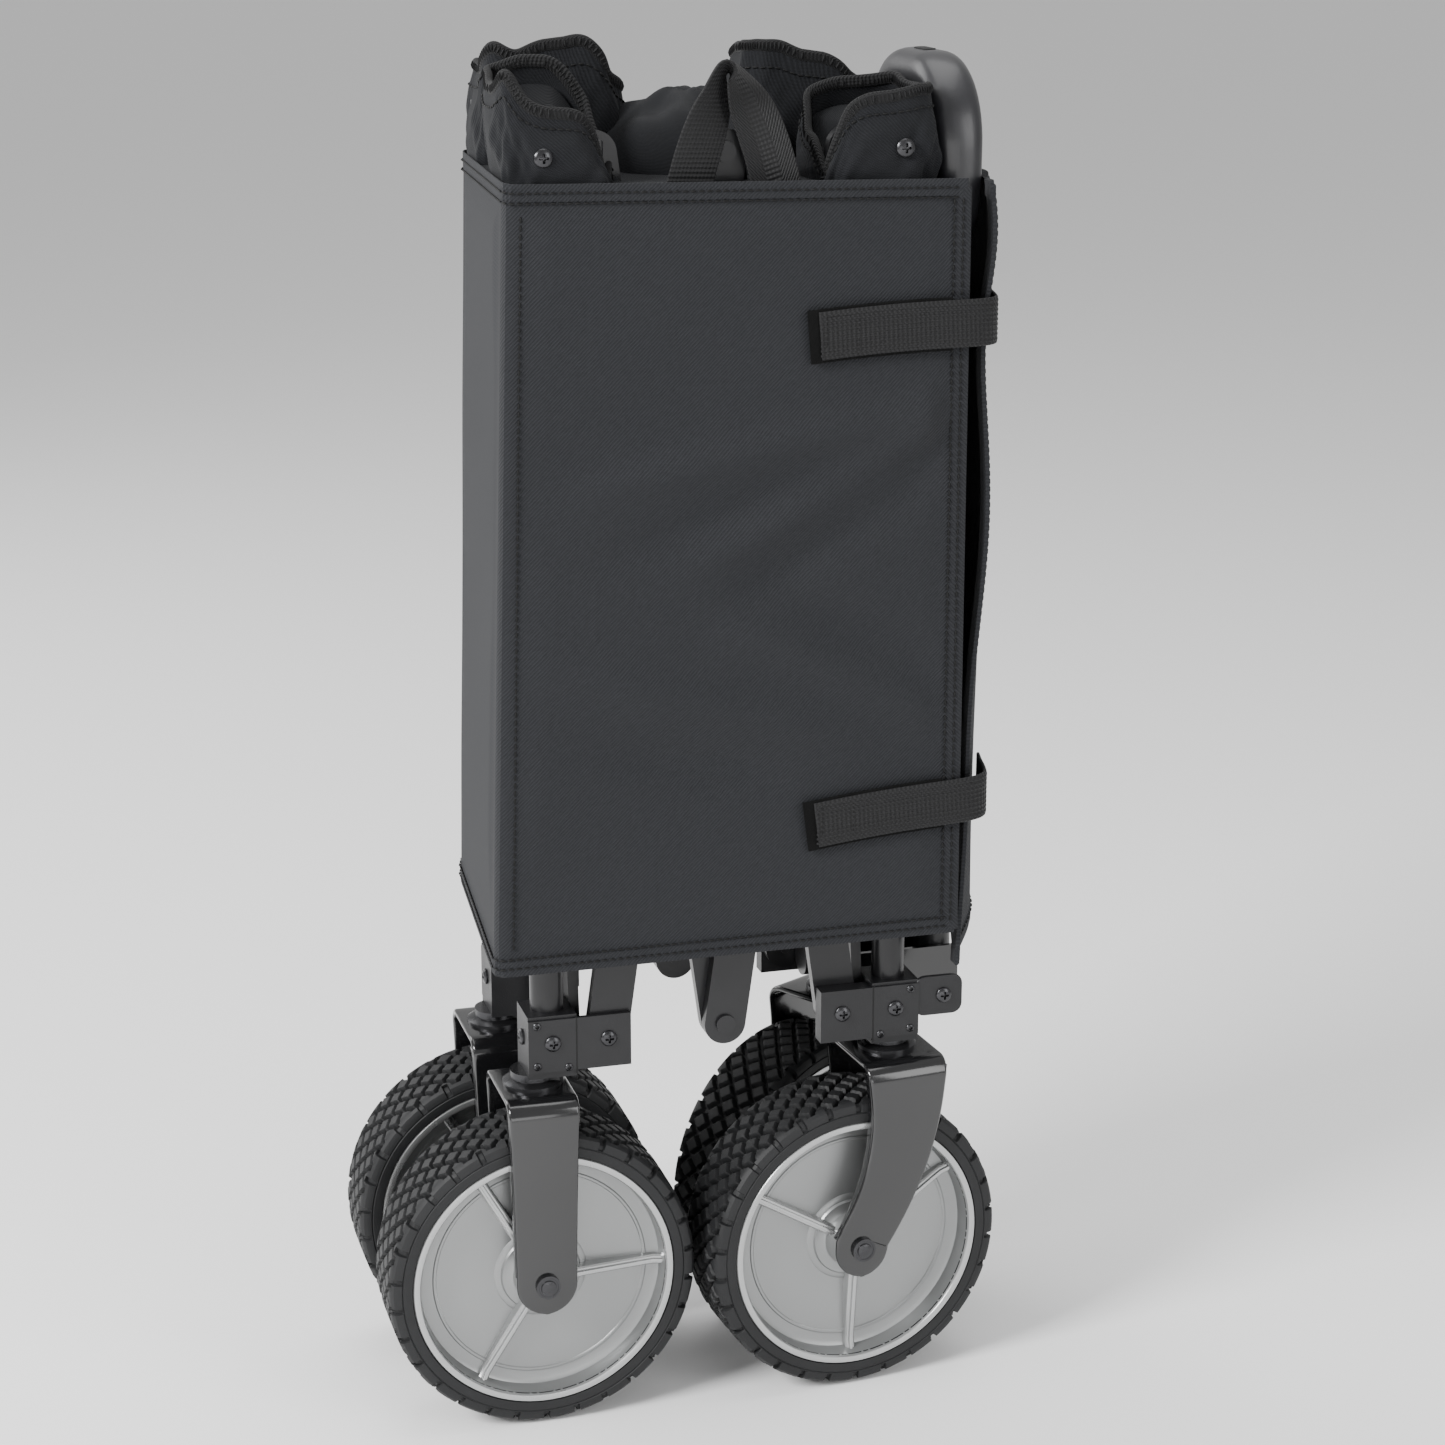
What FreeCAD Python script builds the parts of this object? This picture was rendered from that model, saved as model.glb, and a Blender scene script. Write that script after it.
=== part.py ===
import FreeCAD, Part
import Sketcher
import math
import os
import re
from FreeCAD import Placement, Rotation, Vector

# Folded four-way utility wagon, millimetres.  +X is the handle end, +Y the wagon's left side, +Z up.
# Each piece is drawn about the middle of the scissor frame, then moved by the centring offset so that
# the origin lies on the ground under the middle of the whole wagon.

DIMENSIONS = {
    # posts and scissor frame
    "post_x": 101.0, "post_y": 50.0, "low_pivot": 228.0, "high_pivot": 718.2,
    "bar_length": 495.0, "bar_half": 12.0, "fold_angle": 8.0,
    "long_thick": 7.0, "long_outer": 62.0, "long_inner": 54.5,
    "short_thick": 6.0, "short_outer": 87.0, "short_inner": 80.5,
    "pivot_x": 68.9, "pivot_y": 34.45, "pin_radius": 3.0, "pin_hole": 3.05,
    "tube_radius": 9.5, "tube_bore": 8.0, "tube_low": 200.0, "tube_high": 490.0,
    "sleeve_radius": 12.5, "sleeve_bore": 9.8, "sleeve_low": 460.0, "sleeve_high": 716.0,
    "block_half": 14.0, "lug_front": 65.5, "lug_thin": 62.5, "lug_thick": 55.0, "lug_reach": 45.0,
    "bracket_low": 207.0, "bracket_high": 244.0, "cap_low": 700.0, "cap_high": 745.0,
    # wheels and forks
    "wheel_radius": 89.0, "tyre_half": 26.0, "tyre_shoulder": 6.0, "rim_radius": 76.0, "rim_inner": 71.0,
    "rim_half": 24.0, "disc_out": 13.0, "disc_in": 10.0, "hub_radius": 16.0, "hub_half": 27.5,
    "axle_radius": 4.0, "axle_hole": 4.05, "axle_head": 7.0, "rib_half": 2.0,
    "rear_axle_x": 110.0, "fork_half": 18.0, "fork_out": 33.0, "fork_in": 29.5, "crown_low": 196.5,
    "caster_trail": 28.0, "near_yaw": 5.6, "far_yaw": 30.0, "stem_radius": 7.95, "stem_high": 238.0,
    # pull handle
    "handle_x": 146.0, "handle_pivot": 222.0, "handle_lean": 1.5, "yoke_half": 12.0, "yoke_thick": 3.0,
    "outer_radius": 11.0, "outer_bore": 9.4, "outer_high": 612.0, "inner_radius": 9.0, "inner_low": 300.0,
    "inner_bore": 7.5, "grip_low": 650.0, "grip_high": 765.0, "grip_half": 62.0, "grip_thick": 27.0,
    "grip_round": 40.0, "grip_wall": 24.0,
    # wrap, straps and fabric
    "wrap_low": 281.0, "wrap_high": 701.0, "wrap_rear": 136.0, "wrap_front": 131.0, "wrap_side": 78.0,
    "board": 2.5, "flap_x": 160.0, "strap_thick": 2.2, "strap_half": 13.0, "strap_start": 47.0,
    "strap_upper": 612.0, "strap_lower": 350.0, "fabric_top": 766.0, "fabric_low": 690.0,
    "fabric_skin": 71.0, "loop_half": 12.5, "loop_reach": 38.0, "loop_top": 764.0, "hub_disc": 30.0,
    "hub_low": 640.0, "hub_high": 652.0,
    # centring offset of the whole wagon
    "centre_x": 17.6, "centre_y": -5.65,
}

doc = FreeCAD.newDocument("folding_wagon")
sheet = doc.addObject("Spreadsheet::Sheet", "dims")
for row, (alias, value) in enumerate(DIMENSIONS.items(), start=1):
    sheet.set("A%d" % row, alias)
    sheet.set("B%d" % row, str(value))
    sheet.setAlias("B%d" % row, alias)
doc.recompute()

CENTRING = Placement(Vector(sheet.centre_x, sheet.centre_y, 0), Rotation())
ALONG = {"x": Rotation(Vector(0, 1, 0), 90), "y": Rotation(Vector(1, 0, 0), -90), "z": Rotation()}
REAR, FRONT, RIGHT, LEFT = -1, 1, -1, 1
CORNERS = {
    "rear_right": (REAR, RIGHT), "rear_left": (REAR, LEFT),
    "front_right": (FRONT, RIGHT), "front_left": (FRONT, LEFT),
}
subparts = []


def cells(text):
    """Turn plain dimension names in a formula into references to the sheet."""
    return re.sub(r"[a-z][a-z_]*", lambda word: "dims." + word.group(0), text)


def place(piece, at):
    for axis, formula in zip("xyz", at):
        piece.setExpression("Placement.Base." + axis, cells(formula))


def block(name, across, along, up):
    """Box between a low and a high formula on each axis."""
    piece = doc.addObject("Part::Box", name)
    for size, (low, high) in zip(("Length", "Width", "Height"), (across, along, up)):
        piece.setExpression(size, cells("(%s) - (%s)" % (high, low)))
    place(piece, (across[0], along[0], up[0]))
    return piece


def rod(name, radius, start, length, axis):
    """Cylinder that starts at a point and runs along +x, +y or +z."""
    piece = doc.addObject("Part::Cylinder", name)
    piece.Placement = Placement(Vector(), ALONG[axis])
    piece.setExpression("Radius", cells(radius))
    piece.setExpression("Height", cells(length))
    place(piece, start)
    return piece


def fuse(name, *pieces):
    joined = doc.addObject("Part::MultiFuse", name)
    joined.Shapes = list(pieces)
    return joined


def cut(name, base, *tools):
    result = doc.addObject("Part::Cut", name)
    result.Base = base
    result.Tool = tools[0] if len(tools) == 1 else fuse(name + "_tools", *tools)
    return result


def group(name, *pieces):
    """Separate solids that share one node."""
    result = doc.addObject("Part::Compound", name)
    result.Links = list(pieces)
    return result


def mirrored(name, piece, normal):
    result = doc.addObject("Part::Mirroring", name)
    result.Source = piece
    result.Base = Vector(0, 0, 0)
    result.Normal = normal
    return result


def at_corner(name, piece, corner):
    """Carry a piece drawn at the rear right corner to another corner by reflection."""
    end, side = CORNERS[corner]
    if end == FRONT:
        piece = mirrored(name + "_to_front", piece, Vector(1, 0, 0))
    if side == LEFT:
        piece = mirrored(name + "_to_left", piece, Vector(0, 1, 0))
    return piece


def outline(body, name, role, points):
    """Closed sketch of straight lines; every corner is held by two bound distances from the origin."""
    plane = next(item for item in body.Origin.OriginFeatures if item.Role == role)
    sketch = body.newObject("Sketcher::SketchObject", name)
    sketch.AttachmentSupport = [(plane, "")]
    sketch.MapMode = "FlatFace"
    count = len(points)
    start = [Vector(math.cos(2 * math.pi * step / count), math.sin(2 * math.pi * step / count), 0)
             for step in range(count)]
    for here, there in zip(start, start[1:] + start[:1]):
        sketch.addGeometry(Part.LineSegment(here, there), False)
    for index, formulas in enumerate(points):
        sketch.addConstraint(Sketcher.Constraint("Coincident", index, 2, (index + 1) % count, 1))
        for kind, formula, first_value in zip(("DistanceX", "DistanceY"), formulas, start[index]):
            held = sketch.addConstraint(Sketcher.Constraint(kind, -1, 1, index, 1, first_value))
            sketch.setExpression("Constraints[%d]" % held, cells(formula))
    return sketch


def revolved(label, points, role="XY_Plane"):
    """Body turned about the sketch's upright axis; first coordinate is the radius."""
    body = doc.addObject("PartDesign::Body", label)
    turn = body.newObject("PartDesign::Revolution", label + "_turn")
    turn.Profile = outline(body, label + "_profile", role, points)
    turn.ReferenceAxis = (turn.Profile[0], ["V_Axis"])
    turn.Angle = 360.0
    body.Tip = turn
    return body


def padded(label, points, role, length):
    """Body padded evenly to both sides of the sketch plane."""
    body = doc.addObject("PartDesign::Body", label)
    pad = body.newObject("PartDesign::Pad", label + "_pad")
    pad.Profile = outline(body, label + "_profile", role, points)
    pad.Midplane = True
    pad.setExpression("Length", cells(length))
    body.Tip = pad
    return body


def subpart(label, piece, own=None):
    """Name a finished piece and move it into the wagon's frame."""
    if piece.ExpressionEngine:
        piece = group(label + "_piece", piece)
    piece.Placement = CENTRING.multiply(own or Placement()).multiply(piece.Placement)
    piece.Label = label
    subparts.append(piece)


def upright_at(x, y, z, yaw=0.0):
    return Placement(Vector(x, y, z), Rotation(Vector(0, 0, 1), yaw))


# ---- posts: lower tubes, corner brackets, sliding sleeves and caps -------------------------------

def post_tube(name, radius, bore, low, high):
    axis = ("-post_x", "-post_y")
    wall = rod(name + "_wall", radius, axis + (low,), "%s - %s" % (high, low), "z")
    core = rod(name + "_core", bore, axis + (low + " - 1",), "%s - %s + 2" % (high, low), "z")
    return cut(name, wall, core)


def corner_block(name, low, high, pivot, bore_radius, bore_top, long_is_outer, short_is_outer):
    """Moulded block round a post, with a lug and pin for a long bar and another for a short bar."""
    body = block(name + "_body", ("-post_x - block_half", "-post_x + block_half"),
                 ("-post_y - block_half", "-post_y + block_half"), (low, high))
    depth = "lug_thin" if long_is_outer else "lug_thick"
    long_end = "long_outer - long_thick" if long_is_outer else "long_inner - long_thick"
    front = block(name + "_front_lug", ("-post_x - block_half", "-post_x + lug_reach"),
                  ("-lug_front", "-" + depth), (low + " + 4", high + " - 2"))
    pin = rod(name + "_long_pin", "pin_radius", ("-pivot_x", "-lug_front", pivot),
              "lug_front - (%s)" % long_end, "y")
    side = block(name + "_side_lug", ("-short_outer - 4", "-short_outer - 0.4"),
                 ("-post_y + 10", "-pivot_y + 10"), (low + " + 4", high + " - 2"))
    short_end = "short_outer" if short_is_outer else "short_inner"
    short_pin = rod(name + "_short_pin", "pin_radius", ("-short_outer - 4", "-pivot_y", pivot),
                    "short_outer + 4 - %s + short_thick" % short_end, "x")
    pieces = [body, front, pin, side, short_pin]
    if not short_is_outer:
        pieces.append(rod(name + "_spacer", "pin_radius + 2", ("-short_outer - 4", "-pivot_y", pivot),
                          "short_outer + 4 - short_inner - 0.3", "x"))
    bore = rod(name + "_bore", bore_radius, ("-post_x", "-post_y", low + " - 1"),
               "%s - %s + 1" % (bore_top, low), "z")
    return cut(name, fuse(name + "_solid", *pieces), bore)


for corner, (end, side) in CORNERS.items():
    rises_outer = end == REAR
    rises_first = side == RIGHT
    tube = post_tube("tube_" + corner, "tube_radius", "tube_bore", "tube_low", "tube_high")
    subpart("leg_tube_" + corner, at_corner("leg_" + corner, tube, corner))
    bracket = corner_block("bracket_" + corner, "bracket_low", "bracket_high", "low_pivot", "tube_radius",
                           "bracket_high + 1", rises_outer, rises_first)
    subpart("corner_bracket_" + corner, at_corner("bracket_at_" + corner, bracket, corner))
    sleeve = post_tube("sleeve_" + corner, "sleeve_radius", "sleeve_bore", "sleeve_low", "sleeve_high")
    subpart("upper_sleeve_" + corner, at_corner("sleeve_at_" + corner, sleeve, corner))
    cap = corner_block("cap_" + corner, "cap_low", "cap_high", "high_pivot", "sleeve_radius",
                       "sleeve_high", not rises_outer, not rises_first)
    subpart("corner_cap_" + corner, at_corner("cap_at_" + corner, cap, corner))


# ---- scissor bars ---------------------------------------------------------------------------------

def bar(name, thickness):
    """Flat bar upright in the XZ plane, pivot to pivot along +Z, with three pivot holes."""
    web = block(name + "_web", ("-bar_half", "bar_half"), ("0", thickness), ("0", "bar_length"))
    ends = [rod(name + "_end" + tag, "bar_half", ("0", "0", height), thickness, "y")
            for tag, height in (("_low", "0"), ("_high", "bar_length"))]
    holes = [rod(name + "_hole" + tag, "pin_hole", ("0", "-1", height), thickness + " + 2", "y")
             for tag, height in (("_low", "0"), ("_mid", "bar_length / 2"), ("_high", "bar_length"))]
    return cut(name, fuse(name + "_blank", web, *ends), *holes)


def with_pin(name, piece, thickness, height):
    """Bar whose own rivet reaches through it into its partner's hole."""
    rivet = rod(name + "_rivet", "pin_radius", ("0", "-2", height), "2 * %s + 2.5" % thickness, "y")
    head = rod(name + "_head", "pin_radius + 2.5", ("0", "-2", height), "2", "y")
    return fuse(name + "_riveted", piece, rivet, head)


low, high = sheet.low_pivot, sheet.high_pivot
for side_name, side in (("right", RIGHT), ("left", LEFT)):
    # name, layer is outer, lower pivot x, lean direction, rivets
    long_bars = (
        ("a_" + side_name, True, -sheet.pivot_x, 1, ("bar_length / 2", "bar_length")),
        ("b_" + side_name, False, 0.0, -1, ()),
        ("c_" + side_name, True, 0.0, 1, ("0", "bar_length / 2")),
        ("d_" + side_name, False, sheet.pivot_x, -1, ()),
    )
    for name, outer, x, lean, rivets in long_bars:
        piece = bar("long_bar_" + name, "long_thick")
        for number, height in enumerate(rivets):
            piece = with_pin("long_bar_%s_%d" % (name, number), piece, "long_thick", height)
        face = sheet.long_outer if outer else sheet.long_inner
        turn = Rotation(Vector(0, 1, 0), lean * sheet.fold_angle)
        own = Placement(Vector(x, -face, low), turn)
        if side == LEFT:
            own = Placement(Vector(x, face, low), turn.multiply(Rotation(Vector(0, 0, 1), 180)))
        subpart("side_bar_" + name, piece, own)

for end_name, end in (("rear", REAR), ("front", FRONT)):
    for tag, outer, side in (("e", True, RIGHT), ("f", False, LEFT)):
        name = "%s_%s" % (tag, end_name)
        piece = bar("short_bar_" + name, "short_thick")
        if outer:
            piece = with_pin("short_bar_" + name, piece, "short_thick", "bar_length / 2")
        face = sheet.short_outer if outer else sheet.short_inner
        lean = Rotation(Vector(1, 0, 0), side * sheet.fold_angle)
        spin = Rotation(Vector(0, 0, 1), -90 if end == REAR else 90)
        subpart("end_bar_" + name, piece,
                Placement(Vector(end * face, side * sheet.pivot_y, low), lean.multiply(spin)))


# ---- wheels, forks and their hardware --------------------------------------------------------------

TYRE_OUTLINE = (
    ("rim_radius", "-tyre_half"), ("wheel_radius - tyre_shoulder", "-tyre_half"),
    ("wheel_radius", "-tyre_half + tyre_shoulder"), ("wheel_radius", "tyre_half - tyre_shoulder"),
    ("wheel_radius - tyre_shoulder", "tyre_half"), ("rim_radius", "tyre_half"),
)
RIM_OUTLINE = (
    ("axle_hole", "-hub_half"), ("hub_radius", "-hub_half"), ("hub_radius", "-disc_out"),
    ("rim_inner", "-disc_out"), ("rim_inner", "-rim_half - 1"), ("rim_radius", "-rim_half - 1"),
    ("rim_radius", "rim_half"), ("rim_inner", "rim_half"), ("rim_inner", "-disc_in"),
    ("hub_radius", "-disc_in"), ("hub_radius", "hub_half"), ("axle_hole", "hub_half"),
)


def wheel(corner, own):
    """Tyre and moulded rim, both turned about the axle, which lies along Y; ribs stiffen the disc."""
    subpart("tyre_" + corner, revolved("tyre_" + corner, TYRE_OUTLINE), own)
    disc = revolved("rim_disc_" + corner, RIM_OUTLINE)
    ribs = []
    for number in range(3):
        rib = block("rib_%s_%d" % (corner, number), ("hub_radius - 1", "rim_inner + 1"),
                    ("-hub_half + 8", "-disc_out + 1"), ("-rib_half", "rib_half"))
        stand = doc.addObject("Part::Compound", "rib_turned_%s_%d" % (corner, number))
        stand.Links = [rib]
        stand.Placement = Placement(Vector(), Rotation(Vector(0, 1, 0), 120 * number))
        ribs.append(stand)
    subpart("rim_" + corner, fuse("rim_solid_" + corner, disc, *ribs), own)


def leg_pair(name, outline_solid):
    """Two fork legs from one outline, either side of the wheel."""
    legs = []
    for tag, low_y in (("_outer", "-fork_out"), ("_inner", "fork_in")):
        leg = outline_solid(name + tag, low_y)
        hole = rod(name + tag + "_hole", "axle_radius", ("0", low_y + " - 1", "wheel_radius"),
                   "fork_out - fork_in + 2", "y")
        legs.append(cut(name + tag + "_drilled", leg, hole))
    return legs


def straight_leg(name, low_y):
    plate = block(name + "_plate", ("-fork_half", "fork_half"), (low_y, low_y + " + fork_out - fork_in"),
                  ("wheel_radius", "tube_low"))
    foot = rod(name + "_foot", "fork_half", ("0", low_y, "wheel_radius"), "fork_out - fork_in", "y")
    return fuse(name, plate, foot)


CASTER_LEG = (
    ("-14", "wheel_radius - 12"), ("6", "wheel_radius - 17"), ("18", "wheel_radius - 4"),
    ("42", "wheel_radius + 46"), ("56", "wheel_radius + 84"), ("58", "tube_low"), ("8", "tube_low"),
    ("6", "wheel_radius + 84"), ("-2", "wheel_radius + 48"), ("-20", "wheel_radius + 6"),
)


def swept_leg(name, low_y):
    leg = padded(name, CASTER_LEG, "XZ_Plane", "fork_out - fork_in")
    leg.setExpression("Placement.Base.y", cells(low_y + " + (fork_out - fork_in) / 2"))
    return leg


def axle(name):
    """Axle bolt with a flat head at each end."""
    shaft = rod(name + "_shaft", "axle_radius", ("0", "-fork_out - 1", "wheel_radius"), "2 * fork_out + 2", "y")
    heads = [rod(name + tag, "axle_head", ("0", start, "wheel_radius"), "2.5", "y")
             for tag, start in (("_head", "-fork_out - 2.5"), ("_nut", "fork_out"))]
    return fuse(name, shaft, *heads)


for corner, (end, side) in CORNERS.items():
    if end == REAR:
        centre = upright_at(-sheet.rear_axle_x, side * sheet.post_y, 0, 0 if side == RIGHT else 180)
        legs = leg_pair("fork_" + corner, straight_leg)
        crown = block("crown_" + corner, ("-fork_half", "fork_half"), ("-fork_out", "fork_out"),
                      ("crown_low", "tube_low"))
        subpart("rear_fork_" + corner, fuse("fork_solid_" + corner, crown, *legs), centre)
    else:
        yaw = sheet.near_yaw if side == RIGHT else sheet.far_yaw
        swivel = upright_at(sheet.post_x, side * sheet.post_y, 0, yaw)
        centre = swivel.multiply(upright_at(-sheet.caster_trail, 0, 0))
        legs = leg_pair("fork_" + corner, swept_leg)
        crown = block("crown_" + corner, ("8", "58"), ("-fork_out", "fork_out"), ("crown_low", "tube_low"))
        stem = rod("stem_" + corner, "stem_radius", ("caster_trail", "0", "crown_low"),
                   "stem_high - crown_low", "z")
        subpart("caster_fork_" + corner, fuse("fork_solid_" + corner, crown, stem, *legs), centre)
    subpart("axle_bolt_" + corner, axle("axle_" + corner), centre)
    hub_height = upright_at(0, 0, sheet.wheel_radius)
    wheel(corner, centre.multiply(hub_height))


# ---- pull handle -----------------------------------------------------------------------------------

spine = block("carrier_spine", ("short_outer + 2.5", "short_outer + 6"), ("-yoke_half", "yoke_half"),
              ("bracket_low + 1", "(low_pivot + high_pivot) / 2 + 16"))
cheeks = [block("yoke_cheek_" + tag, ("short_outer + 2.5", "handle_x + 11"), (low_y, low_y + " + yoke_thick"),
                ("bracket_low + 1", "bracket_high"))
          for tag, low_y in (("right", "-yoke_half - yoke_thick"), ("left", "yoke_half"))]
yoke_bolt = rod("yoke_bolt", "pin_radius", ("handle_x", "-yoke_half - yoke_thick - 2", "handle_pivot"),
                "2 * (yoke_half + yoke_thick + 2)", "y")
subpart("handle_carrier", fuse("carrier_solid", spine, yoke_bolt, *cheeks))

tube_wall = rod("outer_wall", "outer_radius", ("0", "0", "-10"), "outer_high - handle_pivot + 10", "z")
tube_core = rod("outer_core", "outer_bore", ("0", "0", "-11"), "outer_high - handle_pivot + 13", "z")
tube_hole = rod("outer_hole", "pin_hole", ("0", "-yoke_half", "0"), "2 * yoke_half", "y")
handle_frame = Placement(Vector(sheet.handle_x, 0, sheet.handle_pivot),
                         Rotation(Vector(0, 1, 0), -sheet.handle_lean))
subpart("handle_outer_tube", cut("handle_outer", tube_wall, tube_core, tube_hole), handle_frame)

reach = "grip_low - inner_low + 12"
inner_wall = rod("inner_wall", "inner_radius", ("0", "0", "inner_low - handle_pivot"), reach, "z")
inner_core = rod("inner_core", "inner_bore", ("0", "0", "inner_low - handle_pivot - 1"), reach + " + 2", "z")
subpart("handle_inner_tube", cut("handle_inner", inner_wall, inner_core), handle_frame)

GRIP_RING = {
    "outer": ("grip_half", "grip_low - handle_pivot", "grip_high - handle_pivot", "grip_round", "grip_thick / 2"),
    "inner": ("grip_half - grip_wall", "grip_low - handle_pivot + grip_wall + 8",
              "grip_high - handle_pivot - grip_wall", "grip_round - grip_wall + 4", "grip_thick / 2 + 1"),
}


def rounded_slab(name, half, low_z, high_z, radius, depth):
    """Slab across X whose outline is a rectangle with four round corners."""
    upright = block(name + "_upright", ("-(%s)" % depth, depth),
                    ("-(%s) + %s" % (half, radius), "%s - (%s)" % (half, radius)), (low_z, high_z))
    level = block(name + "_level", ("-(%s)" % depth, depth), ("-(%s)" % half, half),
                  ("%s + %s" % (low_z, radius), "%s - (%s)" % (high_z, radius)))
    rounds = [rod(name + "_round_%d%d" % (left, top), radius,
                  ("-(%s)" % depth, "%s(%s - (%s))" % ("-" if left else "", half, radius),
                   "%s - (%s)" % (high_z, radius) if top else "%s + %s" % (low_z, radius)),
                  "2 * (%s)" % depth, "x")
              for left in (0, 1) for top in (0, 1)]
    return fuse(name, upright, level, *rounds)


grip = cut("grip_ring", rounded_slab("grip_outer", *GRIP_RING["outer"]),
           rounded_slab("grip_window", *GRIP_RING["inner"]),
           rod("grip_socket", "inner_radius", ("0", "0", "grip_low - handle_pivot - 1"), "13", "z"))
subpart("handle_grip", grip, handle_frame)


# ---- wrap, closing straps, fabric and pull loop ------------------------------------------------------

upper_edges = ("wrap_low", "wrap_high")
front_panel = block("wrap_near", ("-wrap_rear", "wrap_front"), ("-wrap_side", "-wrap_side + board"), upper_edges)
rear_panel = block("wrap_end", ("-wrap_rear", "-wrap_rear + board"), ("-wrap_side + board", "wrap_side - board"),
                   upper_edges)
back_panel = block("wrap_far", ("-wrap_rear", "flap_x"), ("wrap_side - board", "wrap_side"), upper_edges)
subpart("wrap_panels", fuse("wrap_solid", front_panel, rear_panel, back_panel))
flap = block("flap_board", ("flap_x - 2", "flap_x"), ("-wrap_side + 2", "wrap_side - board - 0.5"), upper_edges)
subpart("wrap_flap", flap)
straps = []
for tag, height in (("upper", "strap_upper"), ("lower", "strap_lower")):
    band = (height + " - strap_half", height + " + strap_half")
    face = block("strap_face_" + tag, ("strap_start", "flap_x + strap_thick"),
                 ("-wrap_side - 0.4 - strap_thick", "-wrap_side - 0.4"), band)
    tail = block("strap_tail_" + tag, ("flap_x", "flap_x + strap_thick"), ("-wrap_side - 0.4", "-wrap_side + 35"), band)
    straps.append(fuse("strap_" + tag, face, tail))
subpart("closure_straps", group("straps", *straps))

for corner, (end, side) in CORNERS.items():
    inward = "-loop_reach - 2" if end == REAR else "-loop_reach - 4"
    outward = "-wrap_rear + board + 0.5" if end == REAR else "-handle_x + 28"
    top = block("fabric_top_" + corner, (outward, inward), ("-fabric_skin", "-8"),
                ("cap_high + 1", "fabric_top"))
    skirt = block("fabric_skirt_" + corner, (outward, inward), ("-fabric_skin", "-lug_front - 0.4"),
                  ("fabric_low", "cap_high + 1"))
    cloth = fuse("fabric_" + corner, top, skirt)
    subpart("tub_fabric_" + corner, at_corner("fabric_at_" + corner, cloth, corner))

LOOP_OUTLINE = (
    ("-loop_reach", "hub_high"), ("-loop_reach + 6", "hub_high"), ("0", "loop_top - 14"),
    ("loop_reach - 6", "hub_high"), ("loop_reach", "hub_high"), ("3", "loop_top"), ("-3", "loop_top"),
)
loop = padded("pull_loop_web", LOOP_OUTLINE, "XZ_Plane", "2 * loop_half")
subpart("pull_loop", loop)
hub = rod("hub_block", "hub_disc", ("0", "0", "hub_low"), "hub_high - hub_low", "z")
subpart("floor_hub", hub)


# ---- check and write -----------------------------------------------------------------------------------

doc.recompute()
faults = [item.Name for item in doc.Objects if "Invalid" in item.State or "Error" in item.State]
if faults:
    raise RuntimeError("failed objects: " + ", ".join(faults))
os.makedirs("parts", exist_ok=True)
for item in subparts:
    if item.Shape.isNull() or not item.Shape.isValid():
        raise RuntimeError("bad shape: " + item.Label)
    item.Shape.exportStep("parts/%s.step" % item.Label)
    print(item.Label, len(item.Shape.Solids), round(item.Shape.Volume / 1000, 1))
whole = Part.makeCompound([item.Shape for item in subparts]).BoundBox
print("box", [round(v, 1) for v in (whole.XMin, whole.XMax, whole.YMin, whole.YMax, whole.ZMin, whole.ZMax)])
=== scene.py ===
"""Folded utility wagon: fabric, wheels, mouldings and finishes built round the fixed CAD frame."""
import logging
import math
from dataclasses import dataclass
from enum import Enum
from typing import Callable, NamedTuple, Sequence

import bpy
import numpy as np
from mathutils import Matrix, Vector


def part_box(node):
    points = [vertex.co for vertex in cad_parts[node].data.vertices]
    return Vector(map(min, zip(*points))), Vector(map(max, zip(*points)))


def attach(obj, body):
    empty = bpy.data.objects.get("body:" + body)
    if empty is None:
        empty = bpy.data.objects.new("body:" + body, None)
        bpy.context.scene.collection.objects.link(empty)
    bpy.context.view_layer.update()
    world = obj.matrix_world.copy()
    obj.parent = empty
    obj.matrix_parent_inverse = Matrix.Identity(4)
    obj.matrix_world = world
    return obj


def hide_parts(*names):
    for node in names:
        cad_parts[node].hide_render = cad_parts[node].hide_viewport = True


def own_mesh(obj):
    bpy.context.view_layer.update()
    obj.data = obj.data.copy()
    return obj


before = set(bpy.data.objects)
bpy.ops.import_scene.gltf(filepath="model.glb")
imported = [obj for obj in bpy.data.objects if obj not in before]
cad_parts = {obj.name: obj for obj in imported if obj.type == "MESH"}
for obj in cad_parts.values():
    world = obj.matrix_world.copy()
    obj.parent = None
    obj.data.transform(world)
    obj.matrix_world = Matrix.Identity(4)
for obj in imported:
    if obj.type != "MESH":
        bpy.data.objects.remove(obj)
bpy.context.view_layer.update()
log = logging.getLogger("wagon")

MM = 0.001
TAU = 2.0 * math.pi


# ---- frame of the piece sizes: millimetres about the middle of the scissor frame ------------------

def middle_of_frame() -> np.ndarray:
    """Point on the ground midway between two opposite posts, in metres.

    Returns:
        Array of x, y and 0.
    """
    low, high = (np.array(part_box("leg_tube_" + name)).mean(axis=0) for name in ("rear_right", "front_left"))
    return np.array([(low[0] + high[0]) / 2, (low[1] + high[1]) / 2, 0.0])


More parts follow.
